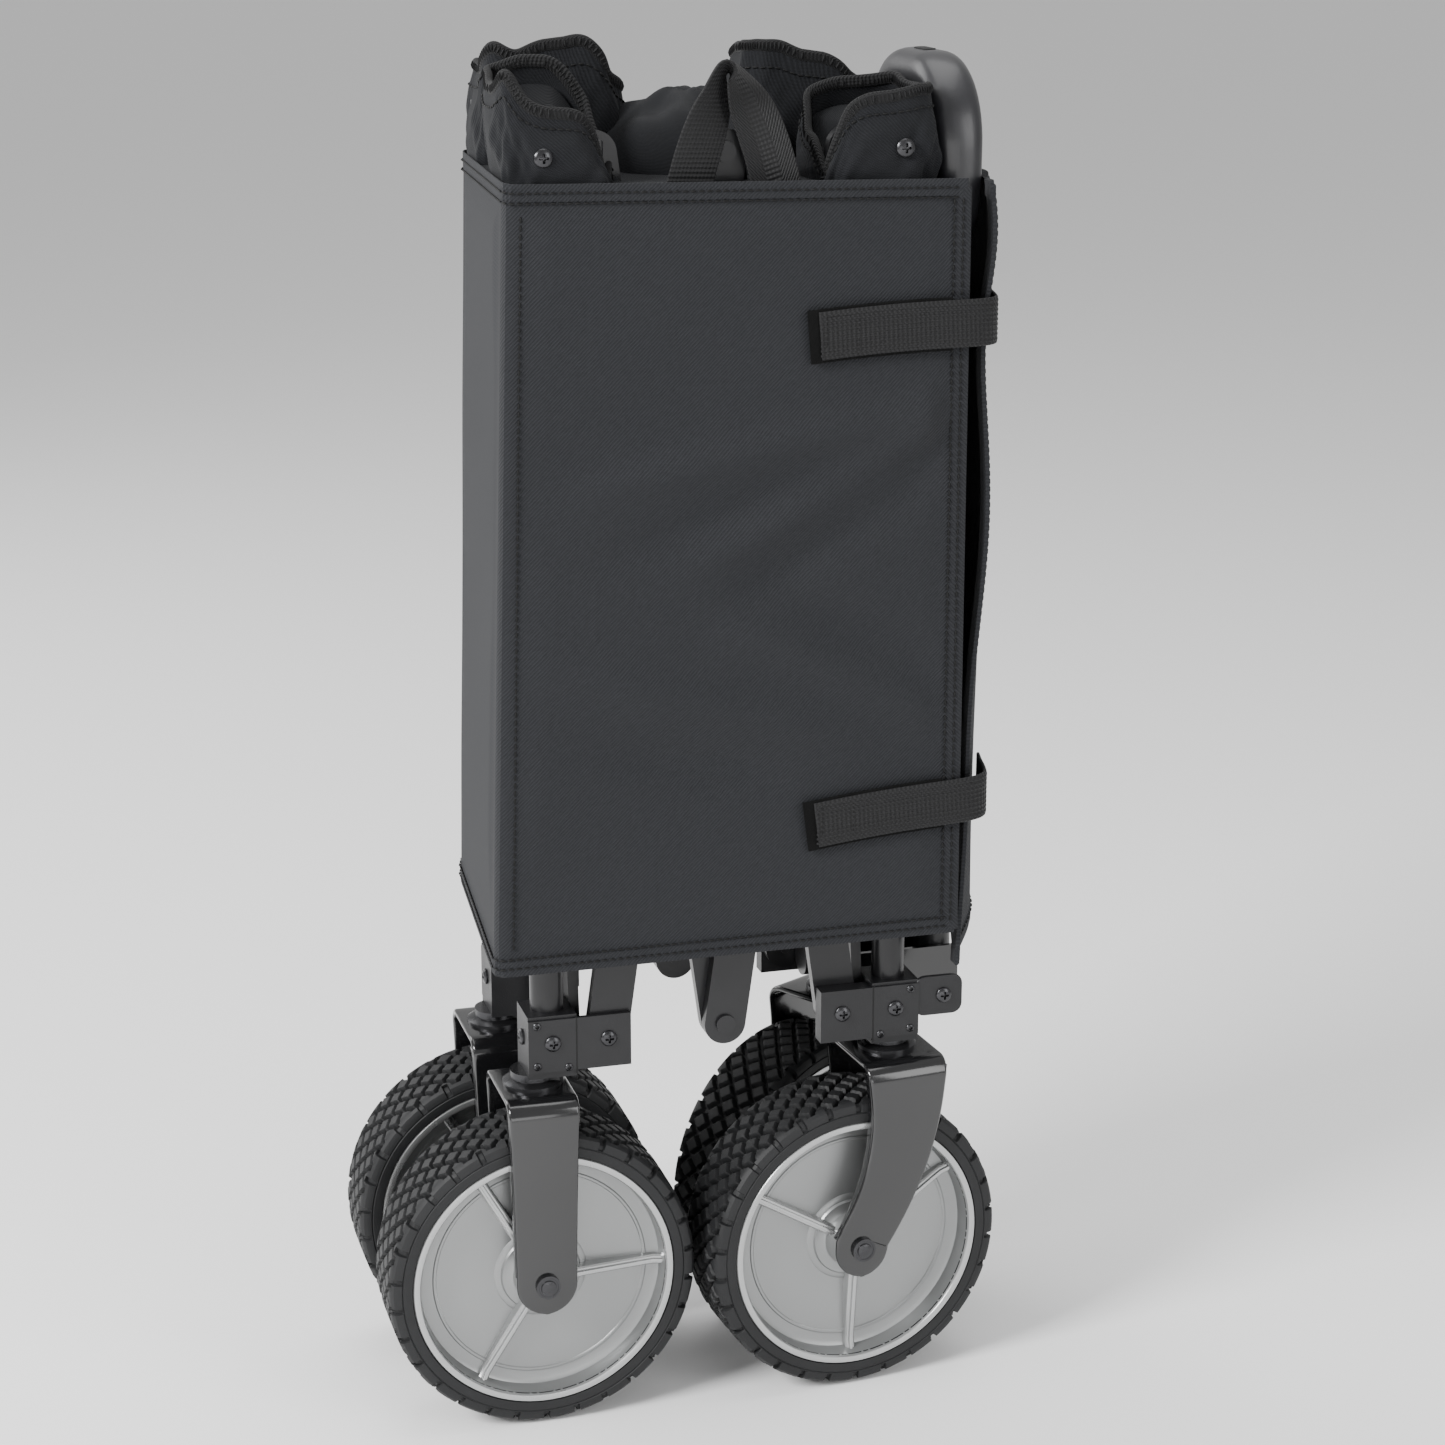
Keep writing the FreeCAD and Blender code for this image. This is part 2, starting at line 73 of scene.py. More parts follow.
MIDDLE = middle_of_frame()
POST_X = float(np.array(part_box("leg_tube_front_left")).mean(axis=0)[0] - MIDDLE[0]) / MM
POST_Y = float(np.array(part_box("leg_tube_front_left")).mean(axis=0)[1] - MIDDLE[1]) / MM
DRAWN_X, DRAWN_Y = 101.0, 50.0
PIVOT_X = 68.9
LOW_PIVOT = 228.0
BAR_LENGTH, FOLD_ANGLE = 495.0, 8
WHEEL_RADIUS = 89.0
CASTER_TRAIL = 28.0
PAD_HEIGHT = 421
CAMERA_PLACE = (-456.0, -1670.0, 883.0)
CAMERA_DOWN, CAMERA_TURN, LENS = 15.93, 15.78, 78.33


class End(Enum):
    """Which end of the wagon a piece is at."""
    REAR = -1
    FRONT = 1


class Side(Enum):
    """Which side of the wagon a piece is on."""
    RIGHT = -1
    LEFT = 1


@dataclass(frozen=True)
class Corner:
    """One of the wagon's four corners."""
    end: End
    side: Side

    @property
    def name(self) -> str:
        """Corner's name as the bodies use it."""
        return self.end.name.lower() + "_" + self.side.name.lower()


CORNERS = [Corner(end, side) for end in End for side in Side]


# ---- shells: arrays of points and faces -----------------------------------------------------------

class Shell(NamedTuple):
    """Points in millimetres with quads, triangles and a cloth coordinate for each point."""
    points: np.ndarray
    quads: np.ndarray
    tris: np.ndarray
    cloth: np.ndarray

    def moved(self, change: Callable[[np.ndarray], np.ndarray]) -> "Shell":
        """Shell with its points passed through a function."""
        return self._replace(points=change(self.points))

    def flipped(self) -> "Shell":
        """Shell with its faces turned over."""
        return self._replace(quads=self.quads[:, ::-1], tris=self.tris[:, ::-1])


def joined(shells: Sequence[Shell]) -> Shell:
    """Stack shells into one.

    Args:
        shells: shells to stack.
    Returns:
        One shell whose face numbers are shifted past the points before them.
    """
    starts = np.cumsum([0] + [len(shell.points) for shell in shells[:-1]])
    return Shell(
        np.concatenate([shell.points for shell in shells]),
        np.concatenate([shell.quads + start for shell, start in zip(shells, starts)]),
        np.concatenate([shell.tris + start for shell, start in zip(shells, starts)]),
        np.concatenate([shell.cloth for shell in shells]),
    )


def loft(rings: np.ndarray, capped: bool = True, wrap: bool = True, loop: bool = False) -> Shell:
    """Skin over a grid of points, rows by columns.

    Columns close on themselves when wrap is set and rows when loop is set; capped adds a fan from the mean
    of the first and last row.  The cloth coordinate is the running length along each direction.

    Args:
        rings: array of rows, columns and x, y, z.
        capped: close both ends.
        wrap: join the last column to the first.
        loop: join the last row to the first.
    Returns:
        The shell.
    """
    rows, columns = rings.shape[:2]
    number = np.arange(rows * columns).reshape(rows, columns)
    if wrap:
        number = np.concatenate([number, number[:, :1]], axis=1)
    if loop:
        number = np.concatenate([number, number[:1]], axis=0)
    quads = np.stack([number[:-1, :-1], number[:-1, 1:], number[1:, 1:], number[1:, :-1]], axis=-1).reshape(-1, 4)
    across = np.linalg.norm(np.diff(rings, axis=1, prepend=rings[:, :1]), axis=2).cumsum(axis=1)
    along = np.linalg.norm(np.diff(rings, axis=0, prepend=rings[:1]), axis=2).cumsum(axis=0)
    cloth = np.stack([across, along], axis=-1).reshape(-1, 2)
    points = rings.reshape(-1, 3)
    tris = np.zeros((0, 3), int)
    if capped:
        ends = rings[[0, -1]].mean(axis=1)
        first, last = len(points), len(points) + 1
        low = np.stack([np.full(columns, first), number[0, 1:], number[0, :-1]], axis=1)
        high = np.stack([np.full(columns, last), number[-1, :-1], number[-1, 1:]], axis=1)
        tris = np.concatenate([low, high])
        points = np.concatenate([points, ends])
        cloth = np.concatenate([cloth, cloth[[0, -1]]])
    return Shell(points, quads, tris, cloth)


def make(name: str, shell: Shell, finish: "Finish", body: str, smooth: bool = True, sharp: float = 35.0):
    """Turn a shell into an object that rides on a body.

    Args:
        name: the piece's name.
        shell: its points and faces, in millimetres about the middle of the frame.
        finish: its finish.
        body: the body that it rides on.
        smooth: shade smoothly between faces that meet at less than the sharp angle.
        sharp: that angle in degrees.
    Returns:
        The new object.
    """
    mesh = bpy.data.meshes.new(name)
    points = shell.points * MM + MIDDLE
    mesh.vertices.add(len(points))
    mesh.vertices.foreach_set("co", points.astype(np.float32).ravel())
    loops = np.concatenate([shell.quads.ravel(), shell.tris.ravel()]).astype(np.int32)
    sizes = np.concatenate([np.full(len(shell.quads), 4), np.full(len(shell.tris), 3)]).astype(np.int32)
    mesh.loops.add(len(loops))
    mesh.loops.foreach_set("vertex_index", loops)
    mesh.polygons.add(len(sizes))
    mesh.polygons.foreach_set("loop_start", np.concatenate([[0], np.cumsum(sizes)[:-1]]).astype(np.int32))
    cloth = mesh.uv_layers.new(name="cloth")
    cloth.data.foreach_set("uv", (shell.cloth[loops] * MM).astype(np.float32).ravel())
    mesh.update(calc_edges=True)
    mesh.validate()
    mesh.polygons.foreach_set("use_smooth", np.full(len(mesh.polygons), smooth))
    if smooth:
        mesh.set_sharp_from_angle(angle=math.radians(sharp))
    mesh.materials.append(finish.material())
    piece = bpy.data.objects.new(name, mesh)
    bpy.context.scene.collection.objects.link(piece)
    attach(piece, body)
    return piece


# ---- outlines and simple solids ---------------------------------------------------------------------

def arc(centre: Sequence[float], radius: float, start: float, stop: float, count: int = 8) -> np.ndarray:
    """Points on a circle's arc, angles in degrees."""
    turn = np.radians(np.linspace(start, stop, count))
    return np.stack([centre[0] + radius * np.cos(turn), centre[1] + radius * np.sin(turn)], axis=1)


def rounded_box(width: float, height: float, radius: float, count: int = 6) -> np.ndarray:
    """Outline of a rectangle about the origin with round corners, anticlockwise."""
    x, y = width / 2 - radius, height / 2 - radius
    return np.concatenate([arc((x, y), radius, 0, 90, count), arc((-x, y), radius, 90, 180, count),
                           arc((-x, -y), radius, 180, 270, count), arc((x, -y), radius, 270, 360, count)])


def inset(outline: np.ndarray, distance: float) -> np.ndarray:
    """Move each point of an anticlockwise outline inwards along the mean of its edges' normals."""
    tangent = np.roll(outline, -1, axis=0) - np.roll(outline, 1, axis=0)
    tangent /= np.linalg.norm(tangent, axis=1, keepdims=True)
    return outline + distance * np.stack([-tangent[:, 1], tangent[:, 0]], axis=1)


def resampled(outline: np.ndarray, spacing: float) -> np.ndarray:
    """Closed outline with extra points so that no edge is longer than the spacing."""
    pieces = []
    for here, there in zip(outline, np.roll(outline, -1, axis=0)):
        count = max(1, int(math.ceil(np.linalg.norm(there - here) / spacing)))
        pieces.append(here + (there - here) * np.arange(count)[:, None] / count)
    return np.concatenate(pieces)


def prism(outline: np.ndarray, low: float, high: float, edge: float, steps: int = 4) -> Shell:
    """Solid from an anticlockwise outline in x, y between two z levels with quarter-round edges.

    Ring k of the edge is inset by edge * (1 - sin a) at a depth of edge * (1 - cos a) for a from 0 to 90.
    """
    turn = np.linspace(0, math.pi / 2, steps + 1)
    insets = edge * (1 - np.sin(turn))
    depths = edge * (1 - np.cos(turn))
    rings = [np.column_stack([inset(outline, i), np.full(len(outline), low + d)]) for i, d in zip(insets, depths)]
    rings += [np.column_stack([inset(outline, i), np.full(len(outline), high - d)])
              for i, d in zip(insets[::-1], depths[::-1])]
    return loft(np.array(rings))


def turned(profile: np.ndarray, count: int = 48, capped: bool = False, closed: bool = False) -> Shell:
    """Surface of revolution about z from rows of radius and height.

    Args:
        profile: rows of radius and height, from the bottom outwards and up.
        count: steps round the axis.
        capped: close the first and last ring.
        closed: join the last row to the first.
    Returns:
        The shell.
    """
    turn = TAU * np.arange(count) / count
    radius, height = profile[:, :1], profile[:, 1:]
    rings = np.stack([radius * np.cos(turn), radius * np.sin(turn), np.broadcast_to(height, (len(profile), count))],
                     axis=-1)
    return loft(rings, capped=capped, loop=closed)


def swept(path: np.ndarray, section: np.ndarray, up: Sequence[float], closed: bool = False) -> Shell:
    """Carry a section along a path, its second coordinate kept as near as can be to the up direction.

    Args:
        path: rows of x, y, z.
        section: anticlockwise outline, or one outline for each row of the path.
        up: direction of the section's second coordinate.
        closed: the path closes on itself.
    Returns:
        The shell.
    """
    if closed:
        ahead = np.roll(path, -1, axis=0) - np.roll(path, 1, axis=0)
    else:
        ahead = np.gradient(path, axis=0)
    ahead = ahead / np.linalg.norm(ahead, axis=1, keepdims=True)
    side = np.cross(ahead, np.asarray(up, float))
    side /= np.linalg.norm(side, axis=1, keepdims=True)
    top = np.cross(side, ahead)
    section = np.broadcast_to(section, (len(path),) + section.shape[-2:])
    rings = path[:, None] + section[..., :1] * side[:, None] + section[..., 1:] * top[:, None]
    return loft(rings, capped=not closed, loop=closed).flipped()


def facing(direction: Sequence[float], at: Sequence[float]) -> Callable[[np.ndarray], np.ndarray]:
    """Function that turns local z to a direction, keeps local y as upright as it can and moves to a place."""
    ahead = np.asarray(direction, float) / np.linalg.norm(direction)
    hint = np.array([0.0, 0.0, 1.0]) if abs(ahead[2]) < 0.9 else np.array([0.0, 1.0, 0.0])
    across = np.cross(hint, ahead)
    across /= np.linalg.norm(across)
    basis = np.stack([across, np.cross(ahead, across), ahead])
    place = np.asarray(at, float)
    return lambda points: points @ basis + place


def ripple(*waves: Sequence[float]) -> Callable[[np.ndarray, np.ndarray], np.ndarray]:
    """Sum of plane waves; each is height, turns per millimetre in u and in v, and a start in turns."""
    return lambda u, v: sum(h * np.sin(TAU * (fu * u + fv * v + start)) for h, fu, fv, start in waves)


# ---- finishes -----------------------------------------------------------------------------------------

class Pen:
    """Writes nodes into a material's or a group's tree."""

    def __init__(self, tree: bpy.types.NodeTree) -> None:
        """Start on a tree."""
        self.tree = tree

    def node(self, kind: str, inputs: dict | None = None, **settings) -> bpy.types.Node:
        """Add a node.

        Args:
            kind: node type without its ShaderNode prefix.
            inputs: socket name or number to a value or to another node's output.
            settings: attributes of the node.
        Returns:
            The node.
        """
        made = self.tree.nodes.new("ShaderNode" + kind)
        for name, value in settings.items():
            setattr(made, name, value)
        for socket, value in (inputs or {}).items():
            if isinstance(value, bpy.types.NodeSocket):
                self.tree.links.new(value, made.inputs[socket])
            else:
                made.inputs[socket].default_value = value
        return made

    def math(self, operation: str, *values) -> bpy.types.NodeSocket:
        """Arithmetic on numbers or sockets; gives the result's socket."""
        return self.node("Math", dict(enumerate(values)), operation=operation).outputs[0]


def group(name: str, takes: Sequence[tuple[str, str, object]], gives: Sequence[str],
          draw: Callable[[Pen, bpy.types.Node], Sequence[bpy.types.NodeSocket]]) -> bpy.types.NodeTree:
    """Build a shader group once and find it again afterwards.

    Args:
        name: the group's name.
        takes: name, socket kind and first value of each input.
        gives: names of the number outputs.
        draw: writes the nodes and gives the output sockets in order.
    Returns:
        The group's tree.
    """
    if name in bpy.data.node_groups:
        return bpy.data.node_groups[name]
    tree = bpy.data.node_groups.new(name, "ShaderNodeTree")
    for label, kind, first in takes:
        socket = tree.interface.new_socket(label, in_out="INPUT", socket_type="NodeSocket" + kind)
        if first is not None:
            socket.default_value = first
    for label in gives:
        tree.interface.new_socket(label, in_out="OUTPUT", socket_type="NodeSocketFloat")
    entry, leave = tree.nodes.new("NodeGroupInput"), tree.nodes.new("NodeGroupOutput")
    for number, socket in enumerate(draw(Pen(tree), entry)):
        tree.links.new(socket, leave.inputs[number])
    return tree


def draw_twill(pen: Pen, entry: bpy.types.Node) -> Sequence[bpy.types.NodeSocket]:
    """Diagonal ribs crossed by threads, both thrown off line by a little noise."""
    where, pitch = entry.outputs["Cloth"], entry.outputs["Pitch"]
    scaled = pen.node("VectorMath", {0: where, "Scale": pen.math("DIVIDE", 1.0, pitch)}, operation="SCALE").outputs[0]
    stray = pen.node("TexNoise", {"Vector": scaled, "Scale": 0.35, "Detail": 3.0}).outputs[0]
    ribs = pen.node("TexWave", {"Vector": scaled, "Scale": 0.314, "Distortion": 0.8, "Detail": 1.0},
                    bands_direction="DIAGONAL").outputs[1]
    threads = pen.node("TexWave", {"Vector": scaled, "Scale": 0.45, "Distortion": 0.5, "Detail": 1.0},
                       bands_direction="Y").outputs[1]
    height = pen.math("MULTIPLY_ADD", ribs, 0.65, pen.math("MULTIPLY", threads, 0.35))
    shade = pen.math("MULTIPLY_ADD", height, 0.6, pen.math("MULTIPLY", stray, 0.4))
    return shade, height


def draw_grain(pen: Pen, entry: bpy.types.Node) -> Sequence[bpy.types.NodeSocket]:
    """Coarse cloudiness and fine speckle of a moulded or coated surface."""
    where, scale = entry.outputs["Place"], entry.outputs["Scale"]
    fine = pen.node("TexNoise", {"Vector": where, "Scale": scale, "Detail": 4.0}).outputs[0]
    coarse = pen.node("TexNoise", {"Vector": where, "Scale": pen.math("MULTIPLY", scale, 0.03), "Detail": 3.0,
                                   "Roughness": 0.6}).outputs[0]
    return coarse, fine


def draw_wear(pen: Pen, entry: bpy.types.Node) -> Sequence[bpy.types.NodeSocket]:
    """Dust that gathers in patches, more on faces that look up."""
    where, amount = entry.outputs["Place"], entry.outputs["Amount"]
    patches = pen.node("TexNoise", {"Vector": where, "Scale": 38.0, "Detail": 6.0, "Roughness": 0.7}).outputs[0]
    upward = pen.node("SeparateXYZ", {0: pen.node("NewGeometry").outputs["Normal"]}).outputs[2]
    lift = pen.math("MULTIPLY_ADD", upward, 0.25, 0.35)
    level = pen.node("MapRange", {0: patches, 1: 0.45, 2: 0.75}).outputs[0]
    return (pen.math("MULTIPLY", pen.math("MULTIPLY", level, lift), amount),)


class Weave(Enum):
    """What a surface is made of, which sets its fine pattern."""
    CANVAS = "canvas"
    WEBBING = "webbing"
    SMOOTH = "smooth"


@dataclass(frozen=True)
class Finish:
    """A surface finish: colour, gloss, fine pattern and dust."""
    name: str
    slot: str
    colour: tuple[float, float, float]
    roughness: float
    metallic: float = 0.0
    coat: float = 0.0
    sheen: float = 0.0
    weave: Weave = Weave.SMOOTH
    pitch: float = 0.0011
    grain: float = 900.0
    bump: float = 0.15
    contrast: float = 0.35
    dust: float = 0.25
    specular: float = 0.5

    def material(self) -> bpy.types.Material:
        """Finish's material, built the first time it is asked for."""
        if self.name in bpy.data.materials:
            return bpy.data.materials[self.name]
        made = bpy.data.materials.new(self.name)
        made.use_nodes = True
        pen = Pen(made.node_tree)
        shader = made.node_tree.nodes["Principled BSDF"]
        shader.inputs["Coat Weight"].default_value = self.coat
        shader.inputs["Specular IOR Level"].default_value = self.specular
        shader.inputs["Coat Roughness"].default_value = 0.12
        shader.inputs["Sheen Weight"].default_value = self.sheen
        shader.inputs["Sheen Roughness"].default_value = 0.6
        shader.inputs["Metallic"].default_value = self.metallic
        place = pen.node("TexCoord").outputs["Object"]
        shade, height = self.pattern(pen, place)
        wear = pen.node("Group", {"Place": place, "Amount": self.dust},
                        node_tree=group("settled_dust", (("Place", "Vector", None), ("Amount", "Float", 0.2)),
                                        ("Mask",), draw_wear)).outputs[0]
        dark = tuple(c * (1 - self.contrast) for c in self.colour) + (1.0,)
        light = tuple(min(1.0, c * (1 + self.contrast)) for c in self.colour) + (1.0,)
        base = pen.node("Mix", {0: shade, 6: dark, 7: light}, data_type="RGBA").outputs[2]
        dusty = tuple(min(1.0, 0.8 * c + 0.03) for c in self.colour) + (1.0,)
        worn = pen.node("Mix", {0: wear, 6: base, 7: dusty}, data_type="RGBA").outputs[2]
        rough = pen.math("ADD", pen.math("MULTIPLY_ADD", shade, 0.16, self.roughness - 0.08),
                         pen.math("MULTIPLY", wear, 0.3))
        bump = pen.node("Bump", {"Strength": self.bump, "Distance": 0.0006, "Height": height})
        for socket, value in (("Base Color", worn), ("Roughness", rough), ("Normal", bump.outputs[0])):
            made.node_tree.links.new(value, shader.inputs[socket])
        return made

    def pattern(self, pen: Pen, place: bpy.types.NodeSocket) -> tuple[bpy.types.NodeSocket, bpy.types.NodeSocket]:
        """Shade and height sockets of the fine pattern."""
        if self.weave is Weave.SMOOTH:
            tree = group("fine_grain", (("Place", "Vector", None), ("Scale", "Float", 900.0)),
                         ("Shade", "Height"), draw_grain)
            made = pen.node("Group", {"Place": place, "Scale": self.grain}, node_tree=tree)
            return made.outputs[0], made.outputs[1]
        cloth = pen.node("UVMap", uv_map="cloth").outputs[0]
        if self.weave is Weave.CANVAS:
            tree = group("twill_weave", (("Cloth", "Vector", None), ("Pitch", "Float", 0.001)),
                         ("Shade", "Height"), draw_twill)
            made = pen.node("Group", {"Cloth": cloth, "Pitch": self.pitch}, node_tree=tree)
            return made.outputs[0], made.outputs[1]
        parts = pen.node("SeparateXYZ", {0: cloth})
        across = pen.math("SINE", pen.math("MULTIPLY", parts.outputs[1], TAU / self.pitch))
        warp = pen.math("SINE", pen.math("MULTIPLY", parts.outputs[0], TAU / (0.8 * self.pitch)))
        height = pen.math("MULTIPLY_ADD", across, 0.35, pen.math("MULTIPLY_ADD", warp, 0.15, 0.5))
        return height, height


CANVAS = Finish("charcoal_canvas", "canvas_black", (0.0165, 0.0172, 0.0195), 0.8, sheen=0.04, weave=Weave.CANVAS,
                bump=0.6, contrast=0.6, dust=0.1, specular=0.12)
TUB_CANVAS = Finish("tub_canvas", "canvas_black", (0.0085, 0.009, 0.0105), 0.8, sheen=0.03, weave=Weave.CANVAS,
                    bump=0.6, contrast=0.6, dust=0.06, specular=0.12)
BINDING = Finish("ribbed_binding", "webbing_black", (0.006, 0.006, 0.0065), 0.72, sheen=0.03, weave=Weave.WEBBING,
                 pitch=0.0022, bump=0.9, contrast=0.6, dust=0.05, specular=0.2)
WEBBING = Finish("black_webbing", "webbing_black", (0.0075, 0.0075, 0.008), 0.62, sheen=0.03, weave=Weave.WEBBING,
                 pitch=0.0026, bump=0.9, contrast=0.6, dust=0.05, specular=0.22)
HOOK_TAPE = Finish("hook_tape", "webbing_black", (0.004, 0.004, 0.004), 0.85, grain=2400, bump=1.0,
                   contrast=0.6, dust=0.0, specular=0.1)
THREAD = Finish("sewing_thread", "webbing_black", (0.005, 0.005, 0.005), 0.6, grain=3000, dust=0.0, specular=0.2)
GLOSS_COAT = Finish("gloss_powder_coat", "frame_black", (0.005, 0.005, 0.0055), 0.16, coat=0.6, grain=500,
                    bump=0.05, dust=0.12)
SATIN_COAT = Finish("satin_powder_coat", "frame_satin", (0.011, 0.011, 0.012), 0.34, metallic=0.2, coat=0.15,
                    grain=700, bump=0.08, dust=0.1, specular=0.35)
MOULDED = Finish("moulded_nylon", "moulded_black", (0.009, 0.009, 0.010), 0.40, grain=1600, bump=0.2,
                 dust=0.1, specular=0.35)
RUBBER = Finish("tread_rubber", "tyre_black", (0.010, 0.0103, 0.011), 0.55, grain=1100, bump=0.3, contrast=0.4,
                dust=0.25, specular=0.3)
SILVER = Finish("silver_rim", "rim_silver", (0.27, 0.275, 0.275), 0.38, metallic=0.7, coat=0.2, grain=260,
                bump=0.05, contrast=0.10, dust=0.05)
# Lighter, glossier copy of the rim silver: its lighter colour paints the highlights on the raised spokes and the
# rolled lip.
SILVER_HIGHLIGHT = Finish("bright_lip", "rim_silver", (0.42, 0.425, 0.425), 0.28, metallic=0.8, grain=300, bump=0.04,
                contrast=0.06, dust=0.0)
RIM_BACK = Finish("black_rim_back", "moulded_black", (0.010, 0.010, 0.011), 0.42, grain=1200, bump=0.2, specular=0.3)
BLACK_ZINC = Finish("black_zinc", "fastener_steel", (0.05, 0.05, 0.053), 0.26, metallic=0.85, grain=1800,
                    bump=0.1, dust=0.05)
RIVET_STEEL = Finish("dulled_rivet", "fastener_steel", (0.20, 0.20, 0.205), 0.35, metallic=0.8, grain=1500)
GRIP_PLASTIC = Finish("grip_moulding", "grip_plastic", (0.012, 0.012, 0.014), 0.36, coat=0.1, grain=1500,
                      bump=0.1, dust=0.05)
# Flat near-black sheet that stands in for shade: painted shade in the grip's finger slot and in the bracket seams.
SHADOW = Finish("deep_recess", "moulded_black", (0.003, 0.003, 0.003), 0.9, dust=0.0)


# ---- small hardware -------------------------------------------------------------------------------------

@dataclass
class PanScrew:
    """Pan-head screw with a cross recess."""
    radius: float = 4.6
    height: float = 2.6
    recess: float = 2.4

    def shell(self) -> Shell:
        """Domed head, whose height is the root of one minus the radius squared, with a cross sunk in it."""
        count, rows = 48, 14
        turn = TAU * np.arange(count) / count
        share = np.concatenate([[1.0, 1.0], np.linspace(0.98, 0.03, rows)])[:, None]
        radius = self.radius * share
        top = self.height * np.sqrt(np.clip(1 - (0.92 * share) ** 2, 0, 1))
        top[0] = -0.6
        x, y = radius * np.cos(turn), radius * np.sin(turn)
        blade = np.minimum(np.abs(x), np.abs(y))
        slot = (blade < 0.55) & (radius < self.recess)
        z = np.broadcast_to(top, x.shape) - 1.5 * slot
        return loft(np.stack([x, y, z], axis=-1), capped=True)


@dataclass
class BoltHead:
    """Flat flanged bolt head or lock nut with a domed centre."""
    radius: float = 7.0
    height: float = 3.4

    def shell(self) -> Shell:
        """Rounded flange, a shallow ring and a dome in the middle."""
        r, h = self.radius, self.height
        profile = np.array([(r, -0.5), (r, 0.5 * h), (0.93 * r, 0.72 * h), (0.8 * r, 0.78 * h), (0.74 * r, 0.6 * h),
                            (0.66 * r, 0.6 * h), (0.6 * r, 0.95 * h), (0.4 * r, 1.1 * h), (0.2 * r, 1.18 * h)])
        return turned(profile, 32, capped=True)


def scattered(shell: Shell, places: Sequence[tuple[Sequence[float], Sequence[float]]]) -> Shell:
    """Copies of a small shell, each facing a direction at a place."""
    return joined([shell.moved(facing(direction, at)) for direction, at in places])


def ribbon(centres: np.ndarray, across: np.ndarray, width: np.ndarray | float, thickness: float,
           closed: bool = False, count: int = 4) -> Shell:
    """Flat band with round edges carried along a path.

    Args:
        centres: rows of x, y, z.
        across: direction of the band's width, one or one for each row.
        width: width, one or one for each row.
        thickness: thickness.
        closed: the path closes on itself.
        count: points on each quarter of the edge.
    Returns:
        The shell.
    """
    ahead = np.roll(centres, -1, axis=0) - np.roll(centres, 1, axis=0) if closed else np.gradient(centres, axis=0)
    across = np.broadcast_to(np.asarray(across, float), centres.shape)
    across = across - ahead * (across * ahead).sum(1, keepdims=True) / (ahead ** 2).sum(1, keepdims=True)
    across = across / np.linalg.norm(across, axis=1, keepdims=True)
    normal = np.cross(ahead, across)
    normal /= np.linalg.norm(normal, axis=1, keepdims=True)
    unit = resampled(rounded_box(6.0, thickness, 0.49 * thickness, count), 1.5)
    half = np.broadcast_to(np.asarray(width, float), (len(centres),))[:, None] / 2
    stretch = np.clip(unit[:, 0] / (3.0 - 0.49 * thickness), -1, 1)
    sideways = unit[None, :, 0] + stretch[None] * (half - 3.0)
    rings = centres[:, None] + sideways[..., None] * across[:, None] + unit[None, :, 1:] * normal[:, None]
    return loft(rings, capped=not closed, loop=closed)


def smooth_path(points: Sequence[Sequence[float]], count: int = 60) -> np.ndarray:
    """Catmull-Rom curve through a few points, evenly stepped in its parameter."""
    knots = np.asarray(points, float)
    knots = np.concatenate([[2 * knots[0] - knots[1]], knots, [2 * knots[-1] - knots[-2]]])
    where = np.linspace(0, len(points) - 1, count)
    number = np.minimum(where.astype(int), len(points) - 2)
    t = (where - number)[:, None]
    a, b, c, d = (knots[number + shift] for shift in range(4))
    return 0.5 * (2 * b + (c - a) * t + (2 * a - 5 * b + 4 * c - d) * t ** 2 + (3 * b - a - 3 * c + d) * t ** 3)


def stitches(rows: Sequence[np.ndarray], pitch: float = 4.4, size: float = 0.55) -> Shell:
    """Sewing stitches: small six-sided grains laid end to end along each row of points."""
    grain = turned(np.array([(0.35, -1.6), (1.0, -1.1), (1.0, 1.1), (0.35, 1.6)]) * (size, 1.0), 6, capped=True)
    made = []
    for row in rows:
        steps = np.linalg.norm(np.diff(row, axis=0), axis=1)
        reach = np.concatenate([[0], np.cumsum(steps)])
        at = np.arange(pitch, reach[-1] - pitch, pitch)
        spots = np.stack([np.interp(at, reach, row[:, k]) for k in range(3)], axis=1)
        ahead = np.stack([np.interp(at + 1, reach, row[:, k]) for k in range(3)], axis=1) - spots
        made += [grain.moved(facing(direction, spot)) for direction, spot in zip(ahead, spots)]
    return joined(made)


# ---- wheels ---------------------------------------------------------------------------------------------

